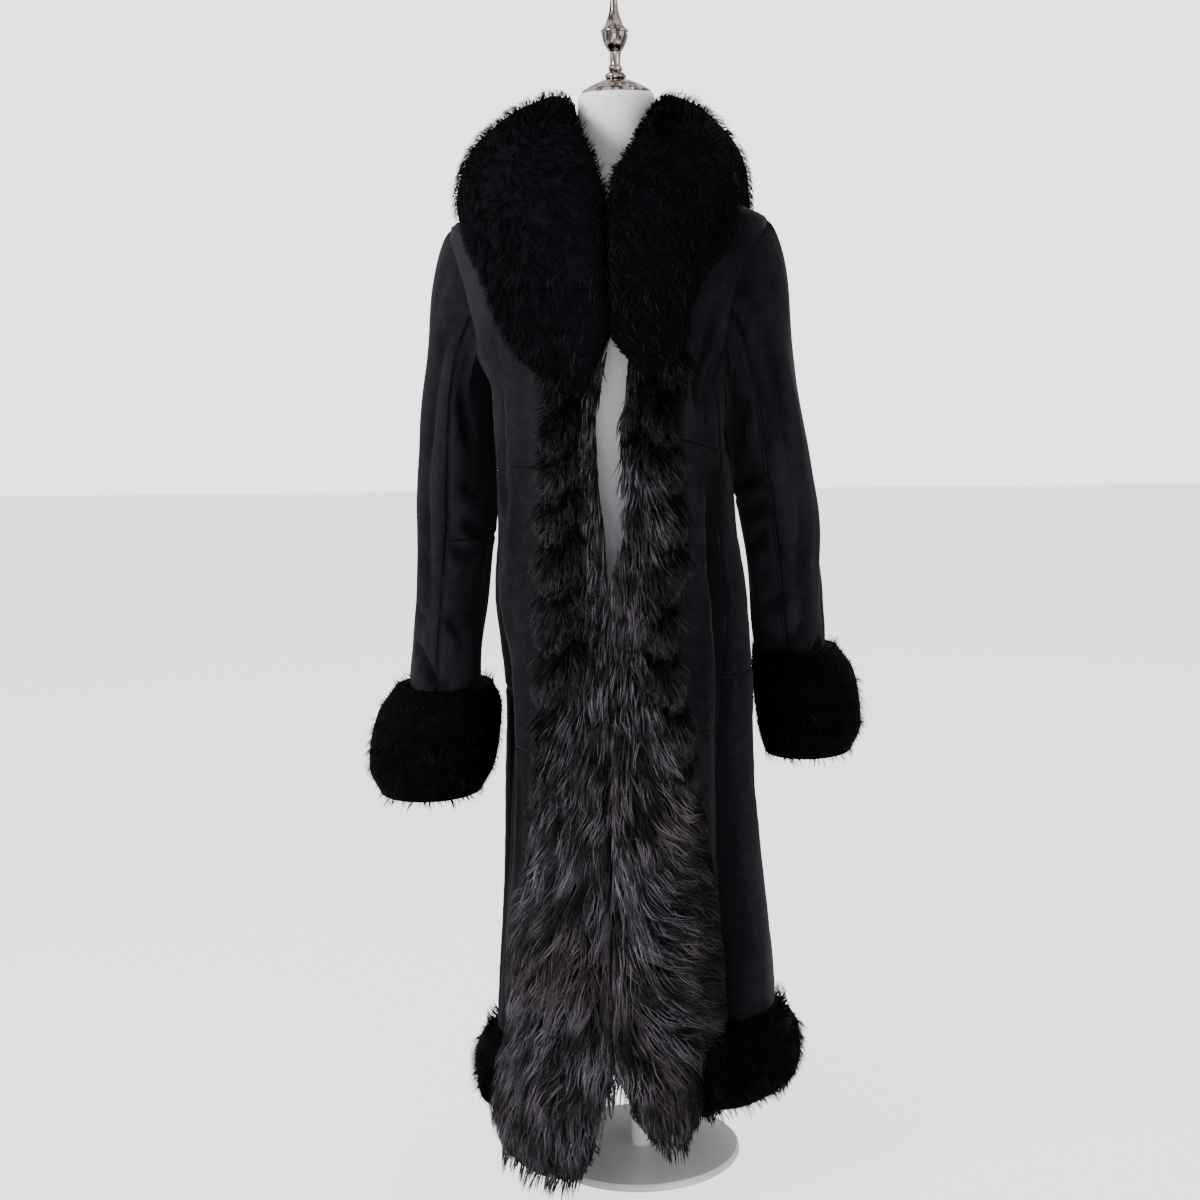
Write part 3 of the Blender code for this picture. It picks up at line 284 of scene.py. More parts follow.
def area_light(name, place, target, size, watts):
    """A square soft light that faces a point."""
    data = bpy.data.lights.new(name, "AREA")
    data.size = size
    data.energy = watts
    made = bpy.data.objects.new(name, data)
    made.location = place
    towards = Vector(target) - Vector(place)
    made.rotation_euler = towards.to_track_quat("-Z", "Y").to_euler()
    bpy.context.scene.collection.objects.link(made)


paper = Finish("studio_paper", Base_Color=(0.86, 0.86, 0.87, 1.0), Roughness=0.9)
white_to_camera(paper, "Principled BSDF", "Material Output", 0.55)
floor_corners = [(-9, -9, 0), (9, -9, 0), (9, 9, 0), (-9, 9, 0)]
floor = mesh_object("floor", floor_corners, [(0, 1, 2), (0, 2, 3)], finishes=[paper.material])

area_light("key", (-1.9, -1.7, 2.4), (0, 0, 0.85), 0.9, 130)
area_light("fill", (2.6, -1.8, 1.6), (0, 0, 0.8), 1.8, 22)
area_light("low_front", (0.2, -3.0, 0.5), (0, 0, 0.5), 1.4, 14)
area_light("rim", (1.4, 2.4, 2.4), (0, 0, 0.9), 1.4, 45)

world = bpy.data.worlds.new("studio")
world.use_nodes = True
sky = world.node_tree.nodes["Background"]
sky.inputs["Color"].default_value = (0.95, 0.95, 0.96, 1.0)
sky.inputs["Strength"].default_value = 0.85
white_to_camera(Graph(world.node_tree), "Background", "World Output", 0.80)
bpy.context.scene.world = world
print("studio: floor and", len(bpy.data.lights), "lights")

# %% [markdown]
# ## Finishes
#
# Suede is the napped flesh side of the hide: matt, and a little cloudy where the nap lies in
# different directions. Painted shade darkens its colour in creases, folds and seams, and painted
# highlights lighten it in a few patches. Each panel's mesh carries how far a point is from its sewn
# edge, so the rows of topstitching and the dents they make follow every seam. Fur takes its colour
# from numbers stored on the hairs: dark at the root, and smoky violet-grey along the lighter locks.
# On the pile and the tufts these numbers also carry painted highlights and painted shade.


# %% Suede and wool
def suede_finish():
    """Black suede. Its nap is cloudy in streaks that hang down, and a row of topstitching lies
    3 mm from the seam stored on the mesh, in stitches 4.5 mm long."""
    made = Finish("suede_outside", Sheen_Weight=0.060, Sheen_Roughness=0.35, Specular_IOR_Level=0.06)
    nap = made.cloud(26.0, 4.0, at=made.stretched((1.0, 1.0, 0.20))) * 0.45
    nap = nap + made.cloud(6.0, 3.0) * 0.25 + made.cloud(70.0, 3.0) * 0.30
    fine = made.cloud(420.0, 2.0)
    seam = made.value("seam")
    rows = seam.near(0.0030, 0.0011)
    dash = (made.value("along") / 0.0045).alone("FRACT")
    thread = rows * (dash.near(0.5, 0.42) * 6.0).least(1.0)
    light = (nap - 0.38) * 3.0 + (fine - 0.5) * 0.7
    # Painted shade and highlights from the mesh: darker in creases, folds and sewn borders, paler on ridges
    # and in patches; and painted shade in the groove of each seam.
    light = light - made.value("hollow") * 0.8 - seam.near(0.0004, 0.0012) * 1.5
    cloth = made.blend(light.within(0.0, 1.8), (0.0034, 0.0033, 0.0048), (0.0134, 0.0130, 0.0176))
    # The thread is black: the paler colour of its dashes is painted sheen.
    made.paint(made.blend(thread * 0.32, cloth, (0.026, 0.026, 0.032)), 0.95 - thread * 0.2)
    made.bump(fine * 0.10 + nap * 0.5 + thread * 0.4 - rows * 0.45, 0.0010, 0.8)
    return made.material


def wool_finish():
    """Clipped black wool on the inside of the hide."""
    made = Finish("clipped_wool", Roughness=0.95, Sheen_Weight=0.2)
    curl = made.cloud(260.0, 4.0, roughness=0.7)
    made.paint(made.blend((curl - 0.3) * 1.8, (0.004, 0.004, 0.005), (0.030, 0.029, 0.033)))
    made.bump(curl, 0.003, 1.0)
    return made.material


def fur_finish(name, dark, light, rusty, gloss, contrast, patchy):
    """Hair: dark to light by the tone stored on it, broken into fine strands across each blade. The
    tone and the light colour drift from place to place, as on a real pelt, and the under-fur, whose
    tone is nothing, is rougher than the hair."""
    made = Finish(name, Specular_IOR_Level=gloss)
    lines = {"W": made.value("strand"), "Scale": 1.0, "Detail": 1.0, "Roughness": 0.5}
    noise = made.wire("Fac", "ShaderNodeTexNoise", {"noise_dimensions": "1D"}, lines)
    strands = ((noise - 0.34) * 3.1).within(0.0, 1.0)
    tone = made.value("tone") + (made.cloud(60.0, 2.0) - 0.5) * 0.20
    tone = tone * (strands * contrast + (1.0 - contrast * 0.58))
    drift = ((made.cloud(6.5, 2.0) - 0.46) * 4.0).within(0.0, 1.0)
    patch = ((made.cloud(19.0, 2.0) - 0.36) * 3.6).within(0.0, 1.1)
    tone = (tone * (patch * patchy + (1.0 - patchy * 0.5))).within(0.0, 1.0)
    made.paint(made.blend(tone, dark, made.blend(drift, light, rusty)), 0.85 - made.value("tone").least(0.3))
    made.bump(strands * 0.7 + made.cloud(900.0, 2.0) * 0.3, 0.0006, 0.7)
    return made.material


SUEDE = suede_finish()
WOOL = wool_finish()
FOX = fur_finish(
    "fox_hair", (0.0005, 0.0005, 0.0007), (0.0150, 0.0152, 0.0195), (0.0155, 0.0162, 0.0145), 0.02, 0.8, 0.4)
# A paler copy of the fox hair for the collar, as painted light: the collar gets more light than the hem and
# the cuffs.
FOX_PAINTED_LIT = fur_finish(
    "fox_plush", (0.0025, 0.0026, 0.0036), (0.034, 0.033, 0.040), (0.034, 0.029, 0.029), 0.02, 0.7, 0.7)
# A paler copy of the fox hair for the tufts, so that they can carry painted highlights.
TUFT = fur_finish(
    "fox_tuft_hair", (0.0010, 0.0010, 0.0011), (0.054, 0.052, 0.058), (0.052, 0.052, 0.044), 0.04, 1.3, 0.7)
PILE = fur_finish(
    "long_pile_hair", (0.0010, 0.0008, 0.0013), (0.200, 0.186, 0.218), (0.194, 0.150, 0.174), 0.14, 2.3, 1.1)
print("finishes", [made.name for made in (SUEDE, WOOL, FOX, FOX_PAINTED_LIT, TUFT, PILE)])


# %% Finishes of the form and its stand
def jersey_finish():
    """White knitted jersey: fine upright ribs with a soft shadow between them."""
    made = Finish("white_jersey", Roughness=0.85, Sheen_Weight=0.25, Sheen_Roughness=0.5)
    upright = {"wave_type": "BANDS", "bands_direction": "X"}
    inputs = {"Vector": made.place(), "Scale": 260.0, "Distortion": 1.5}
    knit = made.wire("Fac", "ShaderNodeTexWave", upright, inputs) * 0.6 + made.cloud(900.0, 2.0) * 0.4
    shade = (knit - 0.3) * 0.35 + made.cloud(7.0, 2.0) * 0.4
    made.paint(made.blend(shade, (0.82, 0.755, 0.82), (0.95, 0.89, 0.95)))
    made.bump(knit, 0.0005, 0.7)
    return made.material


def nickel_finish():
    """Polished nickel with a warm cast and faint turning marks round it. Dark upright streaks in
    its colour are painted reflections."""
    made = Finish("warm_nickel", Metallic=1.0)
    rings = made.cloud(1.0, 3.0, at=made.stretched((8.0, 8.0, 900.0)))
    smudge = made.cloud(45.0, 3.0)
    streak = made.cloud(1.0, 2.0, at=made.stretched((150.0, 150.0, 22.0)))
    # Painted reflections: dark upright streaks in the metal's colour.
    painted_reflection = ((streak - 0.42) * 5.0).within(0.0, 1.0)
    roughness = rings * 0.05 + smudge * 0.10 + 0.03
    made.paint(made.blend(painted_reflection, (0.085, 0.066, 0.060), (0.66, 0.57, 0.52)), roughness)
    made.bump(rings, 0.0002, 0.25)
    return made.material


def enamel_finish():
    """White enamel over steel, with the faint orange peel of sprayed paint."""
    made = Finish("white_enamel_paint", Roughness=0.32)
    peel = made.cloud(320.0, 2.0)
    made.paint(made.blend(made.cloud(9.0, 3.0), (0.78, 0.78, 0.79), (0.84, 0.84, 0.85)), peel * 0.10 + 0.26)
    made.bump(peel, 0.0003, 0.5)
    return made.material


JERSEY = jersey_finish()
NICKEL = nickel_finish()
ENAMEL = enamel_finish()
print("form finishes", [made.name for made in (JERSEY, NICKEL, ENAMEL)])

# %% [markdown]
# ## The coat's surface
#
# A worn coat is a tube of cloth round a body. Here it is a stack of rounded rings, wider or
# narrower at each height, with long standing folds pushed in or out of it. A point of the hide is
# then a function of two numbers: the angle round the body and the height. The seams are lines on
# that surface, so neighbouring panels share their edges exactly.

# %% Tables of the body
SIDES = {"R": -1, "L": 1}
WALL = 0.004             # hide with its clipped wool
HALF_GAP = 0.00015       # from a panel's edge to the middle of its seam

# Coat body, outer face of the hide, in millimetres. Each row is a ring.
BODY_COLUMNS = ("height", "half_width", "front_depth", "back_depth", "squareness", "shift_x")
BODY_UNITS = (1000, 1000, 1000, 1000, 1, 1000)
BODY_RINGS = np.array((
    (20, 190, 186, 172, 2.2, 0), (90, 188, 183, 169, 2.2, 0), (260, 179, 175, 160, 2.25, 0),
    (410, 168, 167, 150, 2.3, 0), (610, 156, 157, 140, 2.35, -1), (740, 158, 152, 134, 2.4, -8),
    (842, 148, 146, 121, 2.45, -11), (930, 147, 140, 119, 2.45, -14),
    (1010, 147, 133, 121, 2.4, -16), (1060, 172, 128, 121, 2.3, -16),
    (1110, 190, 120, 117, 2.3, -16), (1160, 198.5, 106, 104, 2.3, -16),
    (1210, 198, 83, 80, 2.3, -15), (1237.5, 136, 71, 67, 2.25, -11), (1265, 70, 60, 55, 2.1, -6),
)) / BODY_UNITS

# Rows of the panel grid. lean drops the wearer's right front edge and lifts the left one, and dip
# moves the sides and back.
ROW_COLUMNS = ("name", "height", "lean", "dip")
ROWS = (
    ("hem", 0.1, 0, 0), ("band_middle", 0.138, 0, 0), ("band_top", 0.182, 0, 0),
    ("skirt_1", 0.25, 0.02, 0), ("skirt_2", 0.315, 0.02, 0), ("skirt_3", 0.38, 0.02, 0),
    ("skirt_4", 0.445, 0.02, 0), ("fox_end", 0.51, 0.02, 0), ("hip_seam", 0.5825, 0.0195, 0),
    ("side_hip_seam", 0.645, 0.0195, 0), ("hip_1", 0.7, 0.0195, 0), ("hip_2", 0.758, 0.019, 0),
    ("hip_3", 0.818, 0.019, 0), ("hip_4", 0.878, 0.019, -0.008),
    ("waist_seam", 0.9365, 0.0185, -0.016), ("bodice_1", 0.975, 0.01, -0.006),
    ("bodice_2", 1.015, 0.004, 0), ("armhole_1", 1.06, 0, 0), ("armhole_2", 1.1, 0, 0),
    ("armhole_3", 1.14, 0, 0), ("armhole_4", 1.18, 0, 0), ("shoulder_point", 1.21, 0, 0),
    ("shoulder_middle", 1.2375, 0, 0), ("neck_edge", 1.265, 0, 0),
)
ROW = {row[0]: index for index, row in enumerate(ROWS)}
ROW_HEIGHT = {row[0]: row[1] for row in ROWS}
HEM_ROWS = 3             # the rows that run along the hem
DIP_FADE = (30.0, 80.0)  # degrees from the front middle, where a dip starts and is whole
print("rings", len(BODY_RINGS), "rows", len(ROWS))

# %% Tables of the edges
# The hem's height in millimetres round each side, by angle from the front middle.
HEM_COLUMNS = ("angle", "hem_R", "hem_L")
HEM_HEIGHTS = np.array((
    (0, 84, 130), (45, 94, 142), (70, 104, 144), (100, 102, 126), (140, 94, 102), (180, 92, 92),
)) / (1, 1000, 1000)
PILE_DROP = 0.056        # how far the long pile hangs below the front hem
BAND_DROP = 0.026        # how far the fox band hangs below the hem

# The three rows over the shoulder run from the front edge to the shoulder seam: the height at which
# each starts.
SHOULDER_START = {"shoulder_point": 1.184, "shoulder_middle": 1.190, "neck_edge": 1.196}

# Where the furs meet or part down the front: x of the fur's edge, in tenths of a millimetre.
EDGE_COLUMNS = ("height", "fur_R", "fur_L")
FRONT_EDGES = np.array((
    (300, -440, 550), (780, -330, 410), (1350, -220, 160), (1850, -75, 15), (2000, -56, -44),
    (2810, -56, -44), (5270, -36, -24), (7680, -16, -4), (8380, -90, 140), (8840, -120, 170),
    (9430, -140, 150), (10000, -90, 200), (10500, 0, 270), (11100, 90, 160), (11900, 90, 140),
)) / 10000
HIDE_SETBACK = 0.012     # the hide's own edge, behind the fur's edge

# x of the trim's outer edge in millimetres, and the pile's share of the trim's width.
TRIM_COLUMNS = ("height", "outer_R", "outer_L", "pile_share")
TRIM_EDGES = np.array((
    (40, -188, 94, 0.5), (90, -174, 94, 0.5), (163, -150, 96, 0.5), (292, -126, 97, 0.5),
    (393, -111, 93, 0.55), (500, -99, 91, 0.85), (600, -91, 90, 0.6), (714, -87, 75, 0.42),
    (845, -85, 84, 0.38), (952, -78, 80, 0.34), (1040, -76, 96, 0.34),
)) / (1000, 1000, 1000, 1)
TRIM_LIMIT = 1.040       # above this the trim's columns keep their angle
print("front edges, rows", len(FRONT_EDGES), "trim, rows", len(TRIM_EDGES))

# %% Tables of the seams and standing folds
# Seam lines: height in millimetres, and angles from the front middle in degrees.
SEAM_COLUMNS = ("height", "princess_R", "princess_L", "side_back")
SEAM_ANGLES = np.array((
    (50, 74, 47, 131), (447, 70, 50, 129), (600, 69, 56, 127), (760, 69, 66, 122),
    (930, 70, 70, 117),
)) / (1000, 1, 1, 1)

# Armhole: a tilted plane with a scooped curve.
UNDERARM_HEIGHT = 1.010
SHOULDER_HEIGHT = 1.210
UNDERARM_X = 0.147
SHOULDER_X = 0.198
ARMHOLE_SCOOP = 0.010

# Standing folds of the body: positive depth is a trough. Angles in degrees, top to bottom.
FOLD_COLUMNS = ("name", "top_angle", "bottom_angle", "depth", "width", "top", "bottom")
FOLDS = (
    ("left_front_trough", 66.0, 38.0, 0.016, 7.0, 0.98, 0.05),
    ("left_side_ridge", 88.0, 66.0, -0.005, 9.0, 0.85, 0.05),
    ("right_bust_crease", -54.0, -60.0, 0.006, 5.0, 1.10, 0.88),
    ("right_skirt_trough", -66.0, -62.0, 0.009, 7.0, 0.80, 0.05),
    ("right_side_flute", -98.0, -102.0, 0.009, 8.0, 0.62, 0.02),
    ("left_side_flute", 106.0, 104.0, 0.008, 8.0, 0.66, 0.02),
    ("right_back_flute", -146.0, -150.0, 0.013, 9.0, 0.74, 0.02),
    ("left_back_flute", 142.0, 152.0, 0.012, 9.0, 0.70, 0.02),
    ("back_middle_flute", 176.0, 174.0, 0.007, 8.0, 0.60, 0.02),
)
FOLD_FADE = 0.14         # a fold starts and ends over this height
print("standing folds", len(FOLDS))


# %% Curves through a table
def column(table, names, wanted):
    """One named column of a table, as an array."""
    return np.array([row[names.index(wanted)] for row in table], float)


def reading(at, table, names, wanted):
    """A named column at places along the table's first column, smooth between its rows."""
    return smooth(at, column(table, names, names[0]), column(table, names, wanted))


def smooth(at, places, values):
    """A curve through values at places, with no overshoot, carried on straight past both ends."""
    at = np.asarray(at, float)
    step = np.diff(places)
    slope = np.diff(values) / step
    before, after = slope[:-1], slope[1:]
    rising = before * after > 0
    total = np.where(rising, before + after, 1.0)
    middle = np.where(rising, 2.0 * before * after / total, 0.0)
    tangent = np.concatenate([slope[:1], middle, slope[-1:]])
    cell = np.clip(np.searchsorted(places, at, side="right") - 1, 0, len(step) - 1)
    inside = np.clip(at, places[0], places[-1])
    t = (inside - places[cell]) / step[cell]
    start, end = values[cell], values[cell + 1]
    leave, arrive = tangent[cell] * step[cell], tangent[cell + 1] * step[cell]
    curve = (
        start * (1 + 2 * t) * (1 - t) ** 2
        + leave * t * (1 - t) ** 2
        + end * t**2 * (3 - 2 * t)
        + arrive * t**2 * (t - 1)
    )
    past = np.where(at > places[-1], tangent[-1], tangent[0])
    return curve + past * (at - inside)


# %% Rings of the body
class Rings:
    """A stack of superellipse rings, each with its own widths, read from a table."""

    def __init__(self, table, names):
        self.heights = column(table, names, "height")
        self.columns = [column(table, names, name) for name in names[1:]]

    def at(self, height):
        return [smooth(height, self.heights, values) for values in self.columns]

    def point(self, angle, height):
        """Point of a ring: angle 0 is the front middle and +90 degrees the wearer's left side."""
        half_width, front, back, squareness, shift = self.at(height)
        sine, cosine = np.sin(angle), np.cos(angle)
        depth = np.where(cosine > 0, front, back)
        x = shift + half_width * np.sign(sine) * np.abs(sine) ** (2 / squareness)
        y = -depth * np.sign(cosine) * np.abs(cosine) ** (2 / squareness)
        return np.stack([x, y, np.broadcast_to(height, x.shape)], axis=-1)

    def level(self, x, y, height):
        """1 on the surface, more outside it."""
        half_width, front, back, squareness, shift = self.at(height)
        depth = np.where(y < 0, front, back)
        return np.abs((x - shift) / half_width) ** squareness + np.abs(y / depth) ** squareness

    def normal(self, angle, height):
        """Outward direction, from the slope of level along each axis."""
        x, y, z = np.moveaxis(self.point(angle, height), -1, 0)
        h = 1e-4             # a tenth of a millimetre
        slope = [
            self.level(x + h, y, z) - self.level(x - h, y, z),
            self.level(x, y + h, z) - self.level(x, y - h, z),
            self.level(x, y, z + h) - self.level(x, y, z - h),
        ]
        return unit(np.stack(slope, axis=-1))

    def angle_of(self, x, height):
        """Angle of the front point that has this x."""
        half_width, _, _, squareness, shift = self.at(height)
        share = (x - shift) / half_width
        return np.sign(share) * np.arcsin(np.minimum(np.abs(share), 1.0) ** (squareness / 2))


BODY = Rings(BODY_RINGS, BODY_COLUMNS)


def fold_depth(angle, height):
    """How far the standing folds push the hide in at this place."""
    depth = np.zeros(np.broadcast(angle, height).shape)
    degrees = np.degrees(angle)
    for row in FOLDS:
        fold = dict(zip(FOLD_COLUMNS, row))
        top, bottom = fold["top"], fold["bottom"]
        share = (height - bottom) / (top - bottom)
        middle = fold["bottom_angle"] + (fold["top_angle"] - fold["bottom_angle"]) * share
        away = (degrees - middle + 180.0) % 360.0 - 180.0
        ends = fade(top - height, 0.0, FOLD_FADE) * fade(height - bottom, -FOLD_FADE, 0.0)
        depth += fold["depth"] * bell(away, 0.0, fold["width"]) * ends
    return depth


def hide_point(angle, height, out=0.0):
    """Point of the hide's outer face, moved out along its normal."""
    normal = BODY.normal(angle, height)
    move = np.asarray(out - fold_depth(angle, height))
    return BODY.point(angle, height) + normal * move[..., None]


# %% Rows and armhole
FUR_EDGE, HIDE_EDGE, PILE_MIDDLE, PILE_OUTER, FOX_MIDDLE, TRIM_OUTER = range(6)
PRINCESS = 8
SIDE_BACK = 12
CENTRE_BACK = 16
QUARTERS = (0.0, 0.25, 0.5, 0.75, 1.0)
UNDERARM_EASE = 0.0125   # height of the armhole curve above the underarm, one column away from it


def armhole_x(height):
    """Distance of the armhole's plane from the body's middle."""
    share = (height - UNDERARM_HEIGHT) / (SHOULDER_HEIGHT - UNDERARM_HEIGHT)
    line = UNDERARM_X + (SHOULDER_X - UNDERARM_X) * share
    return line - ARMHOLE_SCOOP * np.sin(np.pi * np.clip(share, 0.0, 1.0))


def armhole_angle(height):
    """Angle of the armhole's front edge: 90 degrees at the underarm and at the shoulder point."""
    half_width, _, _, squareness, _ = BODY.at(height)
    share = np.clip(armhole_x(height) / half_width, 0.0, 1.0)
    angle = np.arcsin(share ** (squareness / 2))
    return np.where((height <= UNDERARM_HEIGHT) | (height >= SHOULDER_HEIGHT), np.pi / 2, angle)


def row_height(index, angle):
    """Height of a grid row at an angle, with its lean and dip, or along the hem."""
    row = dict(zip(ROW_COLUMNS, ROWS[index]))
    height = row["height"]
    degrees = np.abs(np.degrees(angle))
    if index < HEM_ROWS:
        right, left = (reading(degrees, HEM_HEIGHTS, HEM_COLUMNS, f"hem_{side}") for side in SIDES)
        return height - ROW_HEIGHT["hem"] + np.where(angle < 0, right, left)
    drop = row["lean"] * np.sign(angle) * (1.0 - degrees / 180.0)
    return height + drop + row["dip"] * fade(degrees, *DIP_FADE)


print("hem at the right front", round(float(row_height(0, -0.1)), 4))


# %% Lines of the trim and the seams
def trim_x(side, height):
    """x of the fur's edge, the hide's edge, the pile's outer edge and the trim's outer edge."""
    fur = reading(height, FRONT_EDGES, EDGE_COLUMNS, f"fur_{side}")
    outer = reading(height, TRIM_EDGES, TRIM_COLUMNS, f"outer_{side}")
    share = reading(height, TRIM_EDGES, TRIM_COLUMNS, "pile_share")
    hide = fur + SIDES[side] * HIDE_SETBACK
    return fur, hide, hide + (outer - hide) * share, outer


def trim_columns(fur, hide, pile, outer):
    """The trim's six grid columns from its four lines, with the middles of its two strips."""
    return [fur, hide, (hide + pile) / 2, pile, (pile + outer) / 2, outer]


def row_angles(side, index):
    """Signed angles of every column of one row on one side, and their heights."""
    sign = SIDES[side]
    name, base_height = ROWS[index][:2]
    waist, top = ROW_HEIGHT["waist_seam"], ROW_HEIGHT["armhole_1"]
    height = float(row_height(index, sign * 1e-3))
    measured = min(height, TRIM_LIMIT)
    pile, outer = (BODY.angle_of(x, measured) for x in trim_x(side, measured)[2:])
    fur, hide = (BODY.angle_of(x, height) for x in trim_x(side, height)[:2])
    princess = np.radians(reading(height, SEAM_ANGLES, SEAM_COLUMNS, f"princess_{side}"))
    side_back = np.radians(reading(height, SEAM_ANGLES, SEAM_COLUMNS, "side_back"))
    if base_height > waist:
        armhole = armhole_angle(max(base_height, top))
        rise = fade(base_height, waist, top)
        princess = princess + (armhole - princess) * rise
        side_back = side_back + (np.pi - armhole - side_back) * rise
    princess *= sign
    side_back *= sign
    front = trim_columns(fur, hide, pile, outer)
    front += [outer + (princess - outer) * share for share in (1 / 3, 2 / 3)]
    middle = [princess + (side_back - princess) * share for share in QUARTERS]
    back = [side_back + (np.pi * sign - side_back) * share for share in QUARTERS[1:]]
    angles = np.array(front + middle + back)
    heights = row_height(index, angles)
    if base_height > waist:
        bend_under_arm(angles, heights, sign, base_height)
    if name in SHOULDER_START:
        run_over_shoulder(angles, heights, side, name)
    return angles, heights


def run_over_shoulder(angles, heights, side, name):
    """Lays the front columns of a shoulder row along a scooped line from front edge to seam."""
    below = row_angles(side, ROW["armhole_4"])
    x_below = BODY.point(*below)[:, 0]
    front = np.s_[: PRINCESS + 1]
    share = (x_below - x_below[HIDE_EDGE]) / (x_below[PRINCESS] - x_below[HIDE_EDGE])
    share = np.clip(share[front], 0.0, 1.0)
    start, end = SHOULDER_START[name], ROW_HEIGHT[name]
    x_end = BODY.point(angles[PRINCESS], heights[PRINCESS])[0]
    x_start = trim_x(side, start)[1]
    heights[front] = end - (end - start) * np.sqrt(1.0 - share**2)
    angles[front] = BODY.angle_of(x_start + (x_end - x_start) * share, heights[front])
    angles[PRINCESS] = SIDES[side] * np.pi / 2


def bend_under_arm(angles, heights, sign, base_height):
    """Lowers the side columns between waist and underarm, so that their top follows the armhole."""
    waist, top = ROW_HEIGHT["waist_seam"], ROW_HEIGHT["armhole_1"]
    near = UNDERARM_HEIGHT + UNDERARM_EASE
    near_angle = float(armhole_angle(near))
    curve = ((near, near_angle), (UNDERARM_HEIGHT, np.pi / 2), (near, np.pi - near_angle))
    share = min((base_height - waist) / (top - waist), 1.0)
    for at, (curve_height, curve_angle) in enumerate(curve, start=PRINCESS + 1):
        base = float(row_height(ROW["waist_seam"], angles[at]))
        straight = base + (top - base) * share
        heights[at] = straight + (curve_height - top) * share
        angles[at] += (sign * curve_angle - angles[at]) * share**2


def body_grid(side):
    """Angles and heights of the whole grid of one side, with a first row below the hem: the fox
    band hangs one length, and the pile more in the middle of the trim than at its borders."""
    angles, heights = (np.array(rows) for rows in zip(*(row_angles(side, index) for index in ROW.values())))
    drop = np.full(angles.shape[1], BAND_DROP)
    across = np.linspace(0.0, 1.0, TRIM_OUTER + 1)
    drop[: TRIM_OUTER + 1] = PILE_DROP * (0.35 + 0.65 * np.sin(np.pi * across) ** 0.6)
    below, low = angles[0].copy(), heights[0] - drop
    for place in range(TRIM_OUTER + 1):
        lines = (BODY.angle_of(x, low[place]) for x in trim_x(side, low[place]))
        below[place] = trim_columns(*lines)[place]
    return np.vstack([below[None], angles]), np.vstack([low[None], heights])


FIRST_ROW = 1            # the hem, since the grid also holds a row below it
GRIDS = {side: body_grid(side) for side in SIDES}
print("seam grid", GRIDS["R"][0].shape, "for each side")

# %% [markdown]
# ## Creases and the panels' own surfaces
#
# Suede-side-out shearling is thick and springy, so it falls in long soft troughs and only breaks
# into sharper creases where the body bends: across the waist, under the arm and behind the knee.
# Each crease here is a short line on the unrolled hide. The cloth is pushed in along it, deepest
# in its middle, and swells a little on both sides, because the same cloth has to go somewhere.

# %% Creases of the body
# Each crease: angle from the front in degrees and height in millimetres where it starts, the same
# where it ends, its depth in tenths of a millimetre, and its half width in millimetres. A negative
# depth is a ridge.
CREASE_UNITS = (1, 1000, 1, 1000, 10000, 1000)
BODY_CREASES = (
    (44, 1110, 52, 985, 45, 10), (-60, 1090, -65, 930, -30, 7), (-48, 900, -60, 700, -20, 8),
    (62, 880, 54, 640, 34, 9), (176, 1120, 160, 1000, 28, 12), (-174, 1100, -158, 1010, 30, 11),
    (-152, 800, -146, 560, 36, 14), (152, 820, 148, 600, 34, 13), (58, 1060, 60, 935, 30, 8),
    (36, 1045, 47, 960, -25, 9), (-42, 1100, -50, 1000, 28, 11), (-62, 1030, -52, 965, 32, 9),
    (-47, 955, -64, 930, 25, 6), (-44, 905, -60, 865, 30, 9), (-66, 880, -50, 800, -24, 10),
    (-50, 745, -57, 660, 28, 10), (48, 915, 62, 880, 32, 8), (44, 830, 58, 760, 26, 10),
    (52, 720, 47, 600, -30, 10), (-52, 575, -50, 380, 34, 13), (-60, 420, -56, 170, -36, 14),
    (60, 560, 56, 300, 40, 14), (84, 1000, 100, 955, 35, 9), (78, 965, 96, 905, 40, 10),
    (-80, 985, -98, 930, 38, 9), (-76, 930, -102, 885, 32, 10), (-112, 970, -92, 905, -26, 11),
    (-88, 560, -84, 240, 45, 16), (88, 600, 92, 300, 48, 16), (124, 520, 126, 200, -50, 18),
    (-124, 560, -120, 220, 48, 17), (150, 1120, 138, 1010, 42, 12), (-146, 1130, -136, 1005, 45, 12),
    (168, 985, 138, 955, 36, 8), (172, 925, 140, 905, 30, 8), (-166, 980, -140, 945, 40, 8),
    (-172, 935, -148, 900, 26, 8), (160, 845, 146, 770, 28, 12), (-158, 850, -150, 750, 32, 12),
    (168, 640, 164, 330, 42, 18), (-166, 560, -170, 240, 46, 18), (135, 420, 139, 180, 36, 14),
    (-138, 460, -134, 170, -36, 15),
)


def crease_depth(across, height, table):
    """How far the creases push the cloth in. With d the distance to a crease's line and w its
    width, each adds depth (1 - 0.45 (d/w)^2) exp(-(d/w)^2), which is a trough between two swells,
    faded to nothing over the line's last third at both ends."""
    total = np.zeros(np.broadcast(across, height).shape)
    for row in table:
        start_across, start_height, end_across, end_height, depth, width = row
        run = np.array([end_across - start_across, end_height - start_height])
        length = float(np.hypot(*run))
        share = ((across - start_across) * run[0] + (height - start_height) * run[1]) / length**2
        held = np.clip(share, 0.0, 1.0)
        away = np.hypot(across - start_across - held * run[0], height - start_height - held * run[1])
        wave = np.exp(-((away / width) ** 2)) * (1.0 - 0.45 * (away / width) ** 2)
        total += depth * wave * fade(share, -0.12, 0.34) * fade(-share, -1.12, -0.66)
    return total


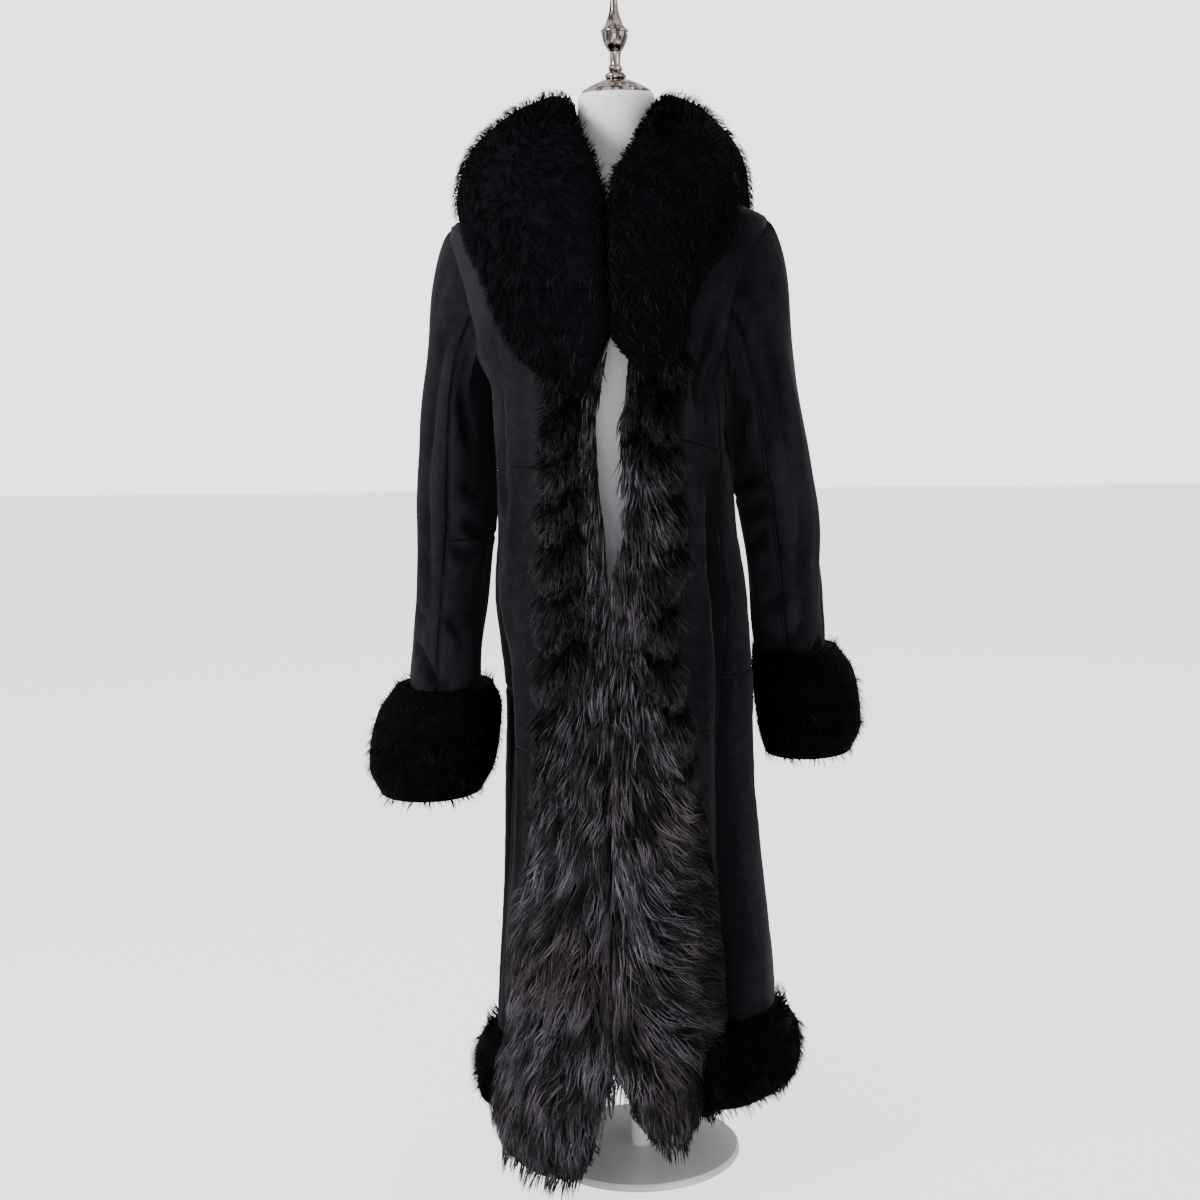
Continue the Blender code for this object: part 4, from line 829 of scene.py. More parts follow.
def unrolled(table, radius, deeper, wider):
    """The creases in metres, with their angles turned into lengths along the cloth, and all of
    them deeper and wider."""
    rows = np.array(table) / CREASE_UNITS
    rows[:, [0, 2]] = np.radians(rows[:, [0, 2]]) * radius
    rows[:, 4] *= deeper
    rows[:, 5] *= wider
    return rows


BODY_RADIUS = 0.155      # the body unrolled: metres of cloth for each radian
BODY_CREASES_FLAT = unrolled(BODY_CREASES, BODY_RADIUS, 1.7, 1.2)
print("creases on the body", len(BODY_CREASES_FLAT))


# %% Waves that repeat nowhere
FULL_TURN = 6.283        # radians


def ripple(first, second, pitch, seed):
    """A soft uneven field of about -1 to 1: six sine waves in seeded directions, whose lengths lie
    round pitch, added up and divided by 2.4."""
    rng = np.random.default_rng(seed)
    total = 0.0
    for way, phase, scale in zip(*(rng.uniform(*ends, 6) for ends in ((0, np.pi), (0, 6.28), (0.7, 1.5)))):
        along = first * np.cos(way) + second * np.sin(way)
        total = total + np.sin(along * FULL_TURN / (pitch * scale) + phase)
    return total / 2.4


def hide_surface(angle, height, out=0.0):
    """The hide's face with its creases: the standing-fold surface, moved in by the creases and by
    a soft unevenness 1 mm deep that hangs down."""
    arc = np.asarray(angle) * BODY_RADIUS
    move = out - crease_depth(arc, height, BODY_CREASES_FLAT)
    move = move + 0.0011 * ripple(arc, height * 0.35, 0.070, 4) + 0.0003 * ripple(arc, height, 0.022, 5)
    return hide_point(angle, height, move)


# Patches of painted highlight on the suede, and of painted shade where how much is negative:
# angle and height of the middle, their reach, and how much.
PAINTED_LIGHT_PATCHES = (
    (-58.0, 1.150, 16.0, 0.055, 2.6),
    (-60.0, 1.020, 3.5, 0.090, 0.6),
    (-42.0, 0.870, 18.0, 0.110, -0.45),
    (46.0, 0.300, 5.0, 0.220, 0.5),
    (150.0, 1.130, 16.0, 0.050, 0.4),
)


def body_painted_shading(angle, height):
    """Painted shade and painted highlights: 1 in a crease 10 mm deep or a fold 13 mm deep, less
    on ridges and in patches of painted highlight, and more in patches of painted shade."""
    hollow = crease_depth(angle * BODY_RADIUS, height, BODY_CREASES_FLAT) / 0.010
    hollow = hollow + fold_depth(angle, height) / 0.013
    for middle, level, turn, reach, much in PAINTED_LIGHT_PATCHES:
        away = (np.degrees(angle) - middle + 180.0) % 360.0 - 180.0
        hollow = hollow - much * np.exp(-((away / turn) ** 2) - ((height - level) / reach) ** 2)
    return hollow


print("a crease's depth", round(float(crease_depth(BODY_RADIUS, 0.93, BODY_CREASES_FLAT)), 4))


# %% Fine grids between the seams
def through(values, at, axis):
    """A smooth curve through the values of a grid along one axis, read at fractional places."""
    places = np.arange(values.shape[axis], dtype=float)
    lines = np.moveaxis(values, axis, 0).reshape(len(places), -1)
    fine = np.stack([smooth(at, places, line) for line in lines.T], axis=1)
    return np.moveaxis(fine.reshape((len(at),) + np.moveaxis(values, axis, 0).shape[1:]), 0, axis)


def steps_between(first, last, each):
    """Fractional places from first to last, each cell cut in equal steps, with two more close to
    both ends, where the sewn edge turns in."""
    inner = np.linspace(first, last, (last - first) * each + 1)
    near = np.array([0.035, 0.10])
    return np.sort(np.concatenate([inner, first + near, last - near]))


def arc_from(points, axis):
    """Length along the grid lines from the first point, in metres."""
    step = np.linalg.norm(np.diff(points, axis=axis), axis=-1)
    start = np.zeros_like(np.take(step, [0], axis=axis))
    return np.concatenate([start, np.cumsum(step, axis=axis)], axis=axis)


def refined(grid, rows_at, columns_at):
    """A grid read at fractional rows and then at fractional columns."""
    return through(through(grid, rows_at, 0), columns_at, 1)


FINE_ROWS, FINE_COLUMNS = 5, 3


def panel_grid(side, rows, columns):
    """Angles and heights of a panel on a fine grid, between named rows and columns."""
    first, last = (FIRST_ROW + ROW[row] for row in rows)
    rows_at = steps_between(first, last, FINE_ROWS)
    columns_at = steps_between(*columns, FINE_COLUMNS)
    return [refined(grid, rows_at, columns_at) for grid in GRIDS[side]]


print("panel grid example", panel_grid("R", ("hem", "hip_seam"), (HIDE_EDGE, PRINCESS))[0].shape)


# %% Closed shells and lofts
def halved(a, b, c, d):
    """Two triangles for each four-cornered cell, from arrays of its corners in turn."""
    return np.stack([np.stack([a, b, c], -1), np.stack([a, c, d], -1)]).reshape(-1, 3)


def shell(outer, inner):
    """Points, triangles and finish numbers of a closed sheet: its face, its back, and a rim round
    the four borders between them. The face has finish 0, the back and rim finish 1."""
    rows, columns = outer.shape[:2]
    count = rows * columns
    number = np.arange(count).reshape(rows, columns)
    face = halved(number[:-1, :-1], number[:-1, 1:], number[1:, 1:], number[1:, :-1])
    loop = np.concatenate([number[0, :-1], number[:-1, -1], number[-1, :0:-1], number[:0:-1, 0]])
    after = np.roll(loop, -1)
    rim = halved(loop, loop + count, after + count, after)
    points = np.vstack([outer.reshape(-1, 3), inner.reshape(-1, 3)])
    triangles = np.vstack([face, face[:, ::-1] + count, rim])
    finish_of = np.repeat([0, 1, 1], [len(face), len(face), len(rim)])
    return points, facing_out(points, triangles), finish_of


def facing_out(points, triangles):
    """The triangles of a closed mesh, all turned round if they enclose a negative volume."""
    first, second, third = (points[triangles[:, corner]] for corner in range(3))
    volume = float(np.einsum("ij,ij->", first, np.cross(second, third)))
    return triangles if volume > 0 else triangles[:, ::-1]


def loft(rings, poles=None):
    """Points and triangles of a stack of closed rings, with a fan to a pole at each end: the middle
    of the end ring, where poles doesn't give the two points."""
    count, around = rings.shape[:2]
    number = np.arange(count * around).reshape(count, around)
    after = np.roll(number, -1, axis=1)
    low, high = (np.full(around, count * around + pole) for pole in (0, 1))
    ends = [np.stack([low, after[0], number[0]], -1), np.stack([high, number[-1], after[-1]], -1)]
    body = halved(number[:-1], after[:-1], after[1:], number[1:])
    poles = rings[[0, -1]].mean(1) if poles is None else poles
    return np.vstack([rings.reshape(-1, 3), poles]), np.vstack([body, *ends])


def seat(piece, node):
    """Every piece rides on the coat's one body and stands for one CAD node, which it hides."""
    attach(piece, "root")
    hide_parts(node)
    return piece


def sewn_edges(outer, sewn):
    """Distance to the nearest sewn border, and the length along that border, for each point.
    sewn names the borders: low, high, first, last."""
    down, across = arc_from(outer, 0), arc_from(outer, 1)
    away = {"low": down, "high": down[-1:] - down, "first": across, "last": across[:, -1:] - across}
    along = {"low": across, "high": across, "first": down, "last": down}
    nearest, place = np.full(down.shape, 1.0), np.zeros(down.shape)
    for border in sewn:
        closer = away[border] < nearest
        place = np.where(closer, along[border], place)
        nearest = np.where(closer, away[border], nearest)
    return nearest, place


TURN_IN, TURN_REACH = 0.0013, 0.0030      # a sewn edge turns in this far, over this distance
SWELL, SWELL_AT = 0.0006, 0.0062          # the hide swells beside the stitches
PUCKER, PUCKER_REACH = 0.0005, 0.014      # the stitches draw the hide up in small waves
WOOL_OVER_SEAM = 0.0005    # how far the wool side reaches over a seam, so no light comes through
# The grid places of each border, and of the line beside it.
BORDERS = {
    "low": (np.s_[0], np.s_[1]),
    "high": (np.s_[-1], np.s_[-2]),
    "first": (np.s_[:, 0], np.s_[:, 1]),
    "last": (np.s_[:, -1], np.s_[:, -2]),
}


def hide_piece(cut, side, outer, inner, sewn, hollow):
    """A cut of hide as a closed shell. Its sewn borders turn in towards the seam, as exp(-(d/w)^2)
    of the distance to it. The shading painted into its colour is 1 in a trough, as painted shade,
    and -1 on a ridge, as a painted highlight, and painted shade is added along its sewn borders."""
    nearest, along = sewn_edges(outer, sewn)
    inward = unit(inner - outer)
    turn = TURN_IN * bell(nearest, 0.0, TURN_REACH) - SWELL * bell(nearest, SWELL_AT, TURN_REACH)
    waves = np.sin(along / 0.0115) * np.sin(along / 0.0371 + 1.0)
    outer = outer + inward * (turn + PUCKER * waves * np.exp(-nearest / PUCKER_REACH))[..., None]
    # Painted shade along every sewn border, where the edge turns into the seam's groove.
    hollow = hollow + bell(nearest, 0.0, 0.0022)
    inner = inner.copy()
    for border, (edge, beside_it) in BORDERS.items():
        if border in sewn:
            inner[edge] += unit(inner[edge] - inner[beside_it]) * WOOL_OVER_SEAM
    points, triangles, finish_of = shell(outer, inner)
    nearest, along = sewn_edges(outer, [border for border in sewn if border in ("low", "high")])
    values = {
        "seam": np.concatenate([nearest.ravel(), np.ones(nearest.size)]),
        "along": np.concatenate([along.ravel(), np.zeros(along.size)]),
        "hollow": np.concatenate([hollow.clip(-1.0, 1.0).ravel(), np.zeros(along.size)]),
    }
    piece = mesh_object(f"suede_{cut}_{side}", points, triangles, values, (SUEDE, WOOL), finish_of)
    seat(piece, f"{cut}_{side}")


print("sheet helpers ready")

# %% [markdown]
# ## The panels
#
# The body is cut as a princess line: a front panel from shoulder to hem, a side panel and a back
# panel, each crossed by a waist seam and a hip seam. Skins are small, so a long coat always has
# these cross seams. Every panel is a thin closed shell, suede outside and wool inside.

# %% Body panels
FRONTS, FLANKS, BACKS = (HIDE_EDGE, PRINCESS), (PRINCESS, SIDE_BACK), (SIDE_BACK, CENTRE_BACK)
ALL_ROUND = ("low", "high", "first", "last")
HIPS = ("side_hip_seam", "waist_seam")
# Each panel: its name, its first and last rows and columns, its sewn borders, and what it hangs from.
PANELS = (
    ("front_skirt", ("hem", "hip_seam"), FRONTS, ("high", "last"), "front_hip"),
    ("front_hip", ("hip_seam", "waist_seam"), FRONTS, ("low", "high", "last"), "front_bodice"),
    ("front_bodice", ("waist_seam", "neck_edge"), FRONTS, ("low", "last"), "form_torso"),
    ("side_skirt_lower", ("hem", "side_hip_seam"), FLANKS, ("high", "first", "last"), "side_skirt_upper"),
    ("side_skirt_upper", HIPS, FLANKS, ALL_ROUND, "side_bodice"),
    ("side_bodice", ("waist_seam", "armhole_1"), FLANKS, ("low", "first", "last"), "front_bodice"),
    ("back_skirt_lower", ("hem", "side_hip_seam"), BACKS, ("high", "first", "last"), "back_skirt_upper"),
    ("back_skirt_upper", HIPS, BACKS, ALL_ROUND, "back_bodice"),
    ("back_bodice", ("waist_seam", "neck_edge"), BACKS, ("low", "first", "last"), "form_torso"),
)


WOOL_DEPTH = WALL - 0.0006     # from the suede in to the wool's own surface


def make_panels(side):
    """Every panel of one side, each between its own rows and columns of seam lines."""
    for cut, rows, columns, sewn, hangs_from in PANELS:
        angles, heights = panel_grid(side, rows, columns)
        outer = hide_surface(angles, heights)
        inner = hide_surface(angles, heights, -WOOL_DEPTH)
        hide_piece(cut, side, outer, inner, sewn, body_painted_shading(angles, heights))


for side in SIDES:
    make_panels(side)

# %% [markdown]
# ## Sleeves
#
# A two-piece sleeve: a long top sleeve outside and an under sleeve next to the body, which is in
# two skins joined at the elbow. The sleeve's head is eased into the armhole, so its surface leaves
# the armhole's curve sideways and turns down into the arm. Below that it is an ellipse at each
# height, with creases at the elbow and short slanting folds where it sinks into the cuff.

# %% Tables of the sleeves
# Sleeves: an ellipse at each height, in tenths of a millimetre.
SLEEVE_COLUMNS = ("height", "centre_x", "centre_y", "half_width", "half_depth")
SLEEVE_SECTIONS = {
    "R": (
        (5250, -2360, -1060, 470, 520), (5800, -2300, -940, 460, 520),
        (6370, -2230, -800, 450, 520), (6850, -2235, -620, 430, 520), (7460, -2205, -440, 460, 540),
        (7950, -2175, -320, 480, 560), (8500, -2135, -200, 490, 580), (9000, -2125, -120, 480, 600),
        (9700, -2100, -40, 440, 630),
    ),
    "L": (
        (5520, 2130, 620, 440, 500), (6000, 2070, 580, 430, 500), (6630, 2010, 500, 430, 510),
        (7080, 1980, 420, 440, 520), (7600, 1950, 340, 450, 540), (8380, 1895, 220, 475, 570),
        (9000, 1815, 120, 475, 600), (9700, 1750, 40, 452, 630),
    ),
}
SLEEVE_END = {"R": 0.537, "L": 0.554}
ELBOW_SEAM = {"R": 0.827, "L": 0.868}
BICEP_HEIGHT = 0.970
CUFF_DROP = 0.020        # fur beyond the sleeve's end
CUFF_FUR = {"R": (0.046, 0.033), "L": (0.046, 0.008)}  # thickness outside, and next to the body

# Creases as on the body, by the turn round the sleeve: 0 outside, 90 in front, 180 next to the body.
SLEEVE_CREASES = {
    "R": (
        (40, 700, 95, 655, 48, 8), (60, 672, 118, 640, 42, 7), (20, 648, 72, 612, 44, 8),
        (96, 735, 140, 700, 36, 7), (30, 742, 66, 722, 30, 8), (112, 850, 158, 822, 48, 8),
        (96, 818, 150, 796, 40, 8), (108, 895, 150, 872, 36, 8), (62, 1120, 46, 900, 34, 11),
        (6, 1060, 2, 780, -22, 8), (16, 960, 12, 700, 22, 8), (58, 900, 64, 720, 26, 8),
        (28, 1090, 22, 820, -26, 12), (74, 960, 70, 780, -24, 10), (110, 1010, 128, 940, 40, 9),
        (200, 905, 250, 880, 40, 9), (206, 862, 262, 842, 46, 9), (290, 1100, 300, 900, 36, 12),
        (330, 820, 286, 780, 34, 10), (300, 712, 250, 680, 38, 9), (322, 668, 280, 628, 40, 8),
        (214, 650, 262, 622, 34, 8), (344, 760, 350, 630, -24, 10),
    ),
    "L": (
        (44, 706, 100, 676, 40, 8), (18, 680, 64, 652, 38, 8), (78, 748, 126, 728, 34, 8),
        (100, 900, 160, 878, 46, 8), (94, 862, 148, 846, 42, 8), (104, 826, 150, 800, 36, 9),
        (58, 1100, 44, 890, 36, 12), (8, 1000, 4, 740, -24, 9), (52, 860, 60, 680, 26, 8),
        (86, 1080, 80, 860, 26, 9), (30, 1070, 24, 800, -28, 12), (72, 960, 66, 790, -26, 10),
        (112, 1000, 132, 930, 40, 9), (204, 920, 252, 898, 42, 9), (200, 880, 258, 862, 44, 9),
        (296, 1090, 304, 880, 36, 12), (326, 840, 284, 806, 34, 10), (304, 730, 256, 700, 38, 9),
        (336, 690, 290, 660, 36, 8), (348, 790, 352, 660, -22, 10),
    ),
}
print("sleeve sections", {side: len(rows) for side, rows in SLEEVE_SECTIONS.items()})


# %% Sleeve surface
TURN_STEPS = 6           # fine columns in each twelfth of the turn
SLEEVE_RADIUS = 0.052    # the sleeve unrolled: metres of cloth for each radian
HEAD_TUCK = 0.0016       # how far the sleeve's head starts under the bodice's edge


def sleeve_section(side, heights, turn):
    """Points of the sleeve's ellipses: centre plus half width times cos(turn) outwards, less half
    depth times sin(turn) along Y."""
    table = np.array(SLEEVE_SECTIONS[side]) / 10000
    x, y, width, depth = (reading(heights, table, SLEEVE_COLUMNS, name) for name in SLEEVE_COLUMNS[1:])
    x, y, width, depth = x[:, None], y[:, None], width[:, None], depth[:, None]
    across = x + SIDES[side] * width * np.cos(turn)
    return np.stack([across, y - depth * np.sin(turn), np.broadcast_to(heights[:, None], across.shape)], -1)


def armhole_line(side):
    """The armhole on the hide, from the shoulder point down the front, under the arm and up the
    back: the panels' own borders, read at fine steps. Over the shoulder the sleeve's head starts
    under the bodice's edge, and under the arm level with it."""
    low, high = FIRST_ROW + ROW["armhole_1"], FIRST_ROW + ROW["shoulder_point"]
    rise = np.linspace(low, high, 4 * TURN_STEPS + 1)
    under = np.linspace(PRINCESS, SIDE_BACK, 4 * TURN_STEPS + 1)
    line = []
    for grid in GRIDS[side]:
        front = through(grid[:, [PRINCESS]], rise, 0)[::-1, 0]
        beneath = through(grid[[low]], under, 1)[0]
        back = through(grid[:, [SIDE_BACK]], rise, 0)[:, 0]
        line.append(np.concatenate([front[:-1], beneath[:-1], back]))
    tuck = HEAD_TUCK * np.abs(np.cos(np.linspace(0.0, np.pi, len(line[0]))))
    points = hide_surface(*line, out=-tuck)
    points[-1] = points[0]
    points[:, 0] += SIDES[side] * (2 * HALF_GAP - tuck)
    return points


def sleeve_rows(side):
    """Fine rows of the sleeve: a Hermite curve from the armhole to the bicep at each turn, then
    ellipses down to the end. Also the row number of the elbow seam."""
    turn = np.linspace(0.0, 2 * np.pi, 12 * TURN_STEPS + 1)
    start = armhole_line(side)
    end, below = sleeve_section(side, np.array([BICEP_HEIGHT, BICEP_HEIGHT - 0.01]), turn)
    top = (1.0 + np.cos(turn)) / 2
    reach = np.linalg.norm(end - start, axis=-1, keepdims=True)
    leave = np.stack([SIDES[side] * (0.25 + 0.75 * top), 0 * top, -(1.0 - 0.8 * top)], -1)
    leave, arrive = unit(leave) * reach * 0.40, unit(below - end) * reach * 1.3
    t = np.concatenate([[0.0, 0.008, 0.022], np.linspace(0.05, 1.0, 24)])[:, None, None]
    head = start * (1 + 2 * t) * (1 - t) ** 2 + leave * t * (1 - t) ** 2
    head = head + end * t**2 * (3 - 2 * t) + arrive * t**2 * (t - 1)
    elbow, near = ELBOW_SEAM[side], np.array([0.0015, 0.0045])
    upper = np.sort([*np.linspace(BICEP_HEIGHT, elbow, 20)[1:], *(elbow + near)])[::-1]
    lower = np.sort([*np.linspace(elbow, SLEEVE_END[side], 42)[1:], *(elbow - near)])[::-1]
    rows = np.concatenate([head, sleeve_section(side, np.concatenate([upper, lower]), turn)])
    return rows, turn, len(head) + len(upper) - 1


def tube_normals(side, grid):
    """Directions out of a grid whose last column is its first one again: the cross product of its
    two central differences."""
    ring = np.concatenate([grid[:, -2:-1], grid, grid[:, 1:2]], axis=1)
    return unit(np.cross(ring[:, 2:] - ring[:, :-2], np.gradient(grid, axis=0))) * SIDES[side]


def sleeve_faces(side):
    """The sleeve's face with its creases and its wool side, on the fine grid, and the shade and
    highlights painted along its creases and ridges.
    """
    rows, turn, elbow = sleeve_rows(side)
    normals = tube_normals(side, rows)
    creases = unrolled(SLEEVE_CREASES[side], SLEEVE_RADIUS, 2.2, 1.3)
    turn, height = turn[None, :], rows[..., 2]
    arc, once_round = turn * SLEEVE_RADIUS, 2 * np.pi * SLEEVE_RADIUS
    depth = crease_depth(arc, height, creases) + crease_depth(arc - once_round, height, creases)
    rough = 0.0012 * ripple(np.sin(turn) * 0.06, height * 0.4 + np.cos(turn) * 0.05, 0.055, 8)
    held = fade(arc_from(rows, 0), 0.0, 0.03)
    outer = rows - normals * ((depth + rough) * held)[..., None]
    # Crease depth over 16 mm: painted shade in troughs, painted highlight on ridges.
    return outer, outer - normals * WOOL_DEPTH, depth / 0.016, elbow


# %% Sleeve panels
def make_sleeve(side):
    """Top sleeve and the two under sleeves, cut from the sleeve's grid along its seams."""
    outer, inner, hollow, elbow = sleeve_faces(side)
    front, back, full = 3 * TURN_STEPS, 9 * TURN_STEPS, 12 * TURN_STEPS
    over = [*range(back, full), *range(0, front + 1)]
    under = list(range(front, back + 1))
    sleeve = f"top_sleeve_{side}"
    cuts = (
        ("top_sleeve", np.s_[:], over, ("first", "last"), "form_torso"),
        ("under_sleeve_upper", np.s_[: elbow + 1], under, ("high", "first", "last"), sleeve),
        ("under_sleeve_lower", np.s_[elbow:], under, ("low", "first", "last"), sleeve),
    )
    for cut, rows, columns, sewn, above in cuts:
        face, back_face = (seam_gap(grid[rows][:, columns]) for grid in (outer, inner))
        hide_piece(cut, side, face, back_face, sewn, hollow[rows][:, columns])
    print("sleeve", side, "rows and columns", outer.shape[:2])


def seam_gap(grid):
    """A grid with its first and last columns moved in by half a seam's gap."""
    moved = grid.copy()
    for edge, beside_it in (BORDERS["first"], BORDERS["last"]):
        moved[edge] += unit(grid[beside_it] - grid[edge]) * HALF_GAP
    return moved


for side in SIDES:
    make_sleeve(side)

# %% [markdown]
# ## Hair
#
# Long fur can't be a bump: its outline is made of separate locks. Each hair here is a tapered
# three-sided blade, and thousands of them are one mesh. A fur has a bed: the skin below and the
# hair's reach above. A hair starts in the bed, is combed step by step along a direction that
# depends on where it is, swings from side to side in a wave, and draws in towards the middle of its
# lock, so that the locks end in points as real fur does.


# %% The bed of a fur
class Bed:
    """The space between a grid on the skin and a grid at the hair's reach. across and up run from
    0 to 1 over the grid, and rise from 0 on the skin to 1 at the reach. Beyond the borders the grid
    carries on straight, or, where it is closed, goes round again."""

    def __init__(self, skin, reach, closed=False):
        self.grids = skin, reach
        self.depth = reach - skin
        self.closed = closed
        self.rows, self.columns = skin.shape[:2]

    def cell(self, share, count, closed):
        """The cell that a share of the way lies in, and how far along it."""
        place = (share % 1.0 if closed else share) * (count - 1)
        low = np.clip(np.floor(place).astype(int), 0, count - 2)
        return low, np.clip(place - low, -6.0, 7.0)

    def read(self, grid, across, up, held=False):
        """A value between the four corners of a cell, in proportion. Beyond the borders a held
        value stays what it is at the border."""
        column_at, x = self.cell(across, self.columns, self.closed)
        row_at, y = self.cell(up, self.rows, False)
        if held:
            x, y = x.clip(0.0, 1.0), y.clip(0.0, 1.0)
        x, y = x[..., None], y[..., None]
        low = grid[row_at, column_at] * (1 - x) + grid[row_at, column_at + 1] * x
        high = grid[row_at + 1, column_at] * (1 - x) + grid[row_at + 1, column_at + 1] * x
        return low * (1 - y) + high * y

    def at(self, across, up, rise):
        """The point at a place and a rise."""
        depth = self.read(self.depth, across, up, held=True)
        return self.read(self.grids[0], across, up) + depth * rise[..., None]

    def frame(self, across, up):
        """Steps along the grid for the whole of across and of up, and the direction out of it."""
        h = 0.004
        middle = np.full(np.shape(across), 0.7)
        along = (self.at(across + h, up, middle) - self.at(across - h, up, middle)) / (2 * h)
        above = (self.at(across, up + h, middle) - self.at(across, up - h, middle)) / (2 * h)
        out = unit(self.at(across, up, middle + 0.3) - self.at(across, up, middle - 0.7))
        return along, above, out

    def scatter(self, count, rng, where=None):
        """Seeded places on the reach grid, as many to each square metre everywhere, thinned by
        where, a share for each cell's place."""
        grid = self.grids[1]
        first = grid[1:, 1:] - grid[:-1, :-1]
        second = grid[1:, :-1] - grid[:-1, 1:]
        area = np.linalg.norm(np.cross(first, second), axis=-1)
        if where is not None:
            middles = [(np.arange(count - 1) + 0.5) / (count - 1) for count in (self.rows, self.columns)]
            up, across = np.meshgrid(*middles, indexing="ij")
            area = area * where(across, up)
        chance = np.cumsum(area.ravel()) / area.sum()
        picked = np.searchsorted(chance, rng.uniform(0, 1, count)).clip(0, chance.size - 1)
        row_at, column_at = np.divmod(picked, self.columns - 1)
        across = (column_at + rng.uniform(0, 1, count)) / (self.columns - 1)
        return across, (row_at + rng.uniform(0, 1, count)) / (self.rows - 1)


print("beds ready")


# %% Combing
def nearest_lock(points, middles):
    """Number of the nearest lock's middle for each root, in batches: |p - m|^2 = p^2 - 2 p.m + m^2."""
    batches = []
    for batch in np.array_split(points, max(1, len(points) // 1500)):
        gap = (batch**2).sum(1)[:, None] - 2 * batch @ middles.T + (middles**2).sum(1)[None, :]
        batches.append(gap.argmin(1))
    return np.concatenate(batches)


def comb(bed, across, up, lay, length, rise, wave, steps):
    """Paths from roots: at each step the hair moves length / steps along lay(points, across, up),
    pressed flat on the bed and swung by swing * cos(2 pi (distance / pitch + phase)), while it
    rises from rise[0] to rise[1] as 1 - (1 - s)^2."""
    swing, pitch, phase = wave
    points, outs = [], []
    for step in range(steps + 1):
        s = step / steps
        height = rise[0] + (rise[1] - rise[0]) * (1.0 - (1.0 - s) ** 2)
        along, above, out = bed.frame(across, up)
        points.append(bed.at(across, up, height))
        outs.append(out)
        way = lay(points[-1], across, up)
        way = unit(way - out * (way * out).sum(-1, keepdims=True))
        turn = (swing * np.cos(FULL_TURN * (length * s / pitch + phase)))[:, None]
        way = way * np.cos(turn) + np.cross(out, way) * np.sin(turn)
        aa, ab, bb = (along * along).sum(-1), (along * above).sum(-1), (above * above).sum(-1)
        da, db = (way * along).sum(-1), (way * above).sum(-1)
        spread = np.maximum(aa * bb - ab * ab, 1e-9)
        move = length / steps
        across = across + np.clip((da * bb - db * ab) / spread * move, -0.3, 0.3)
        up = up + np.clip((db * aa - da * ab) / spread * move, -0.3, 0.3)
    return np.stack(points, 1), np.stack(outs, 1)


print("comb ready")

# %% Blades
STRAND = 0.00045         # width of one of the fine strands drawn on a blade


def blades(paths, outs, widths):
    """Triangles of three-sided blades along paths. Each ring has two corners at the sides and one
    on the outside, and its size falls from 1 in the lower half to 0 at the tip. Also how far along
    each corner is, and which strand it lies on: its distance across the blade over a strand's
    width, starting from a number of the blade's own."""
    count, rings = paths.shape[:2]
    s = np.linspace(0.0, 1.0, rings)
    taper = np.minimum(1.0, 0.75 + s) * (1.0 - s**2.2)
    along = unit(np.gradient(paths, axis=1))
    side = unit(np.cross(along, outs))
    lift = np.cross(side, along)
    size = (widths[:, None] * taper)[..., None] / 2
    corners = np.stack([paths + side * size, paths + lift * size * 0.7, paths - side * size], 2)
    corners = corners[:, :-1].reshape(count, -1, 3)
    points = np.concatenate([corners, paths[:, -1:]], 1)
    each = points.shape[1]
    one = [(0, 2, 1)]
    for ring in range(rings - 2):
        for corner in range(3):
            a, b = 3 * ring + corner, 3 * ring + (corner + 1) % 3
            one += [(a, b, b + 3), (a, b + 3, a + 3)]
    base = 3 * (rings - 2)
    one += [(base + corner, base + (corner + 1) % 3, each - 1) for corner in range(3)]
    triangles = np.array(one)[None] + (np.arange(count) * each)[:, None, None]
    along_hair = np.concatenate([np.repeat(s[:-1], 3), [1.0]])
    share = np.concatenate([np.tile([0.0, 0.5, 1.0], rings - 1), [0.5]])
    strand = np.arange(count)[:, None] * 7.3 + share[None, :] * (widths / STRAND)[:, None]
    return points.reshape(-1, 3), triangles.reshape(-1, 3), np.tile(along_hair, (count, 1)), strand.ravel()


print("blade of 5 rings, triangles", len(blades(np.zeros((1, 5, 3)), np.ones((1, 5, 3)), np.ones(1))[1]))


# %% Locks of hair
def everywhere(across, up):
    """The share of a fur whose look is the same all over."""
    return np.ones(np.shape(across))


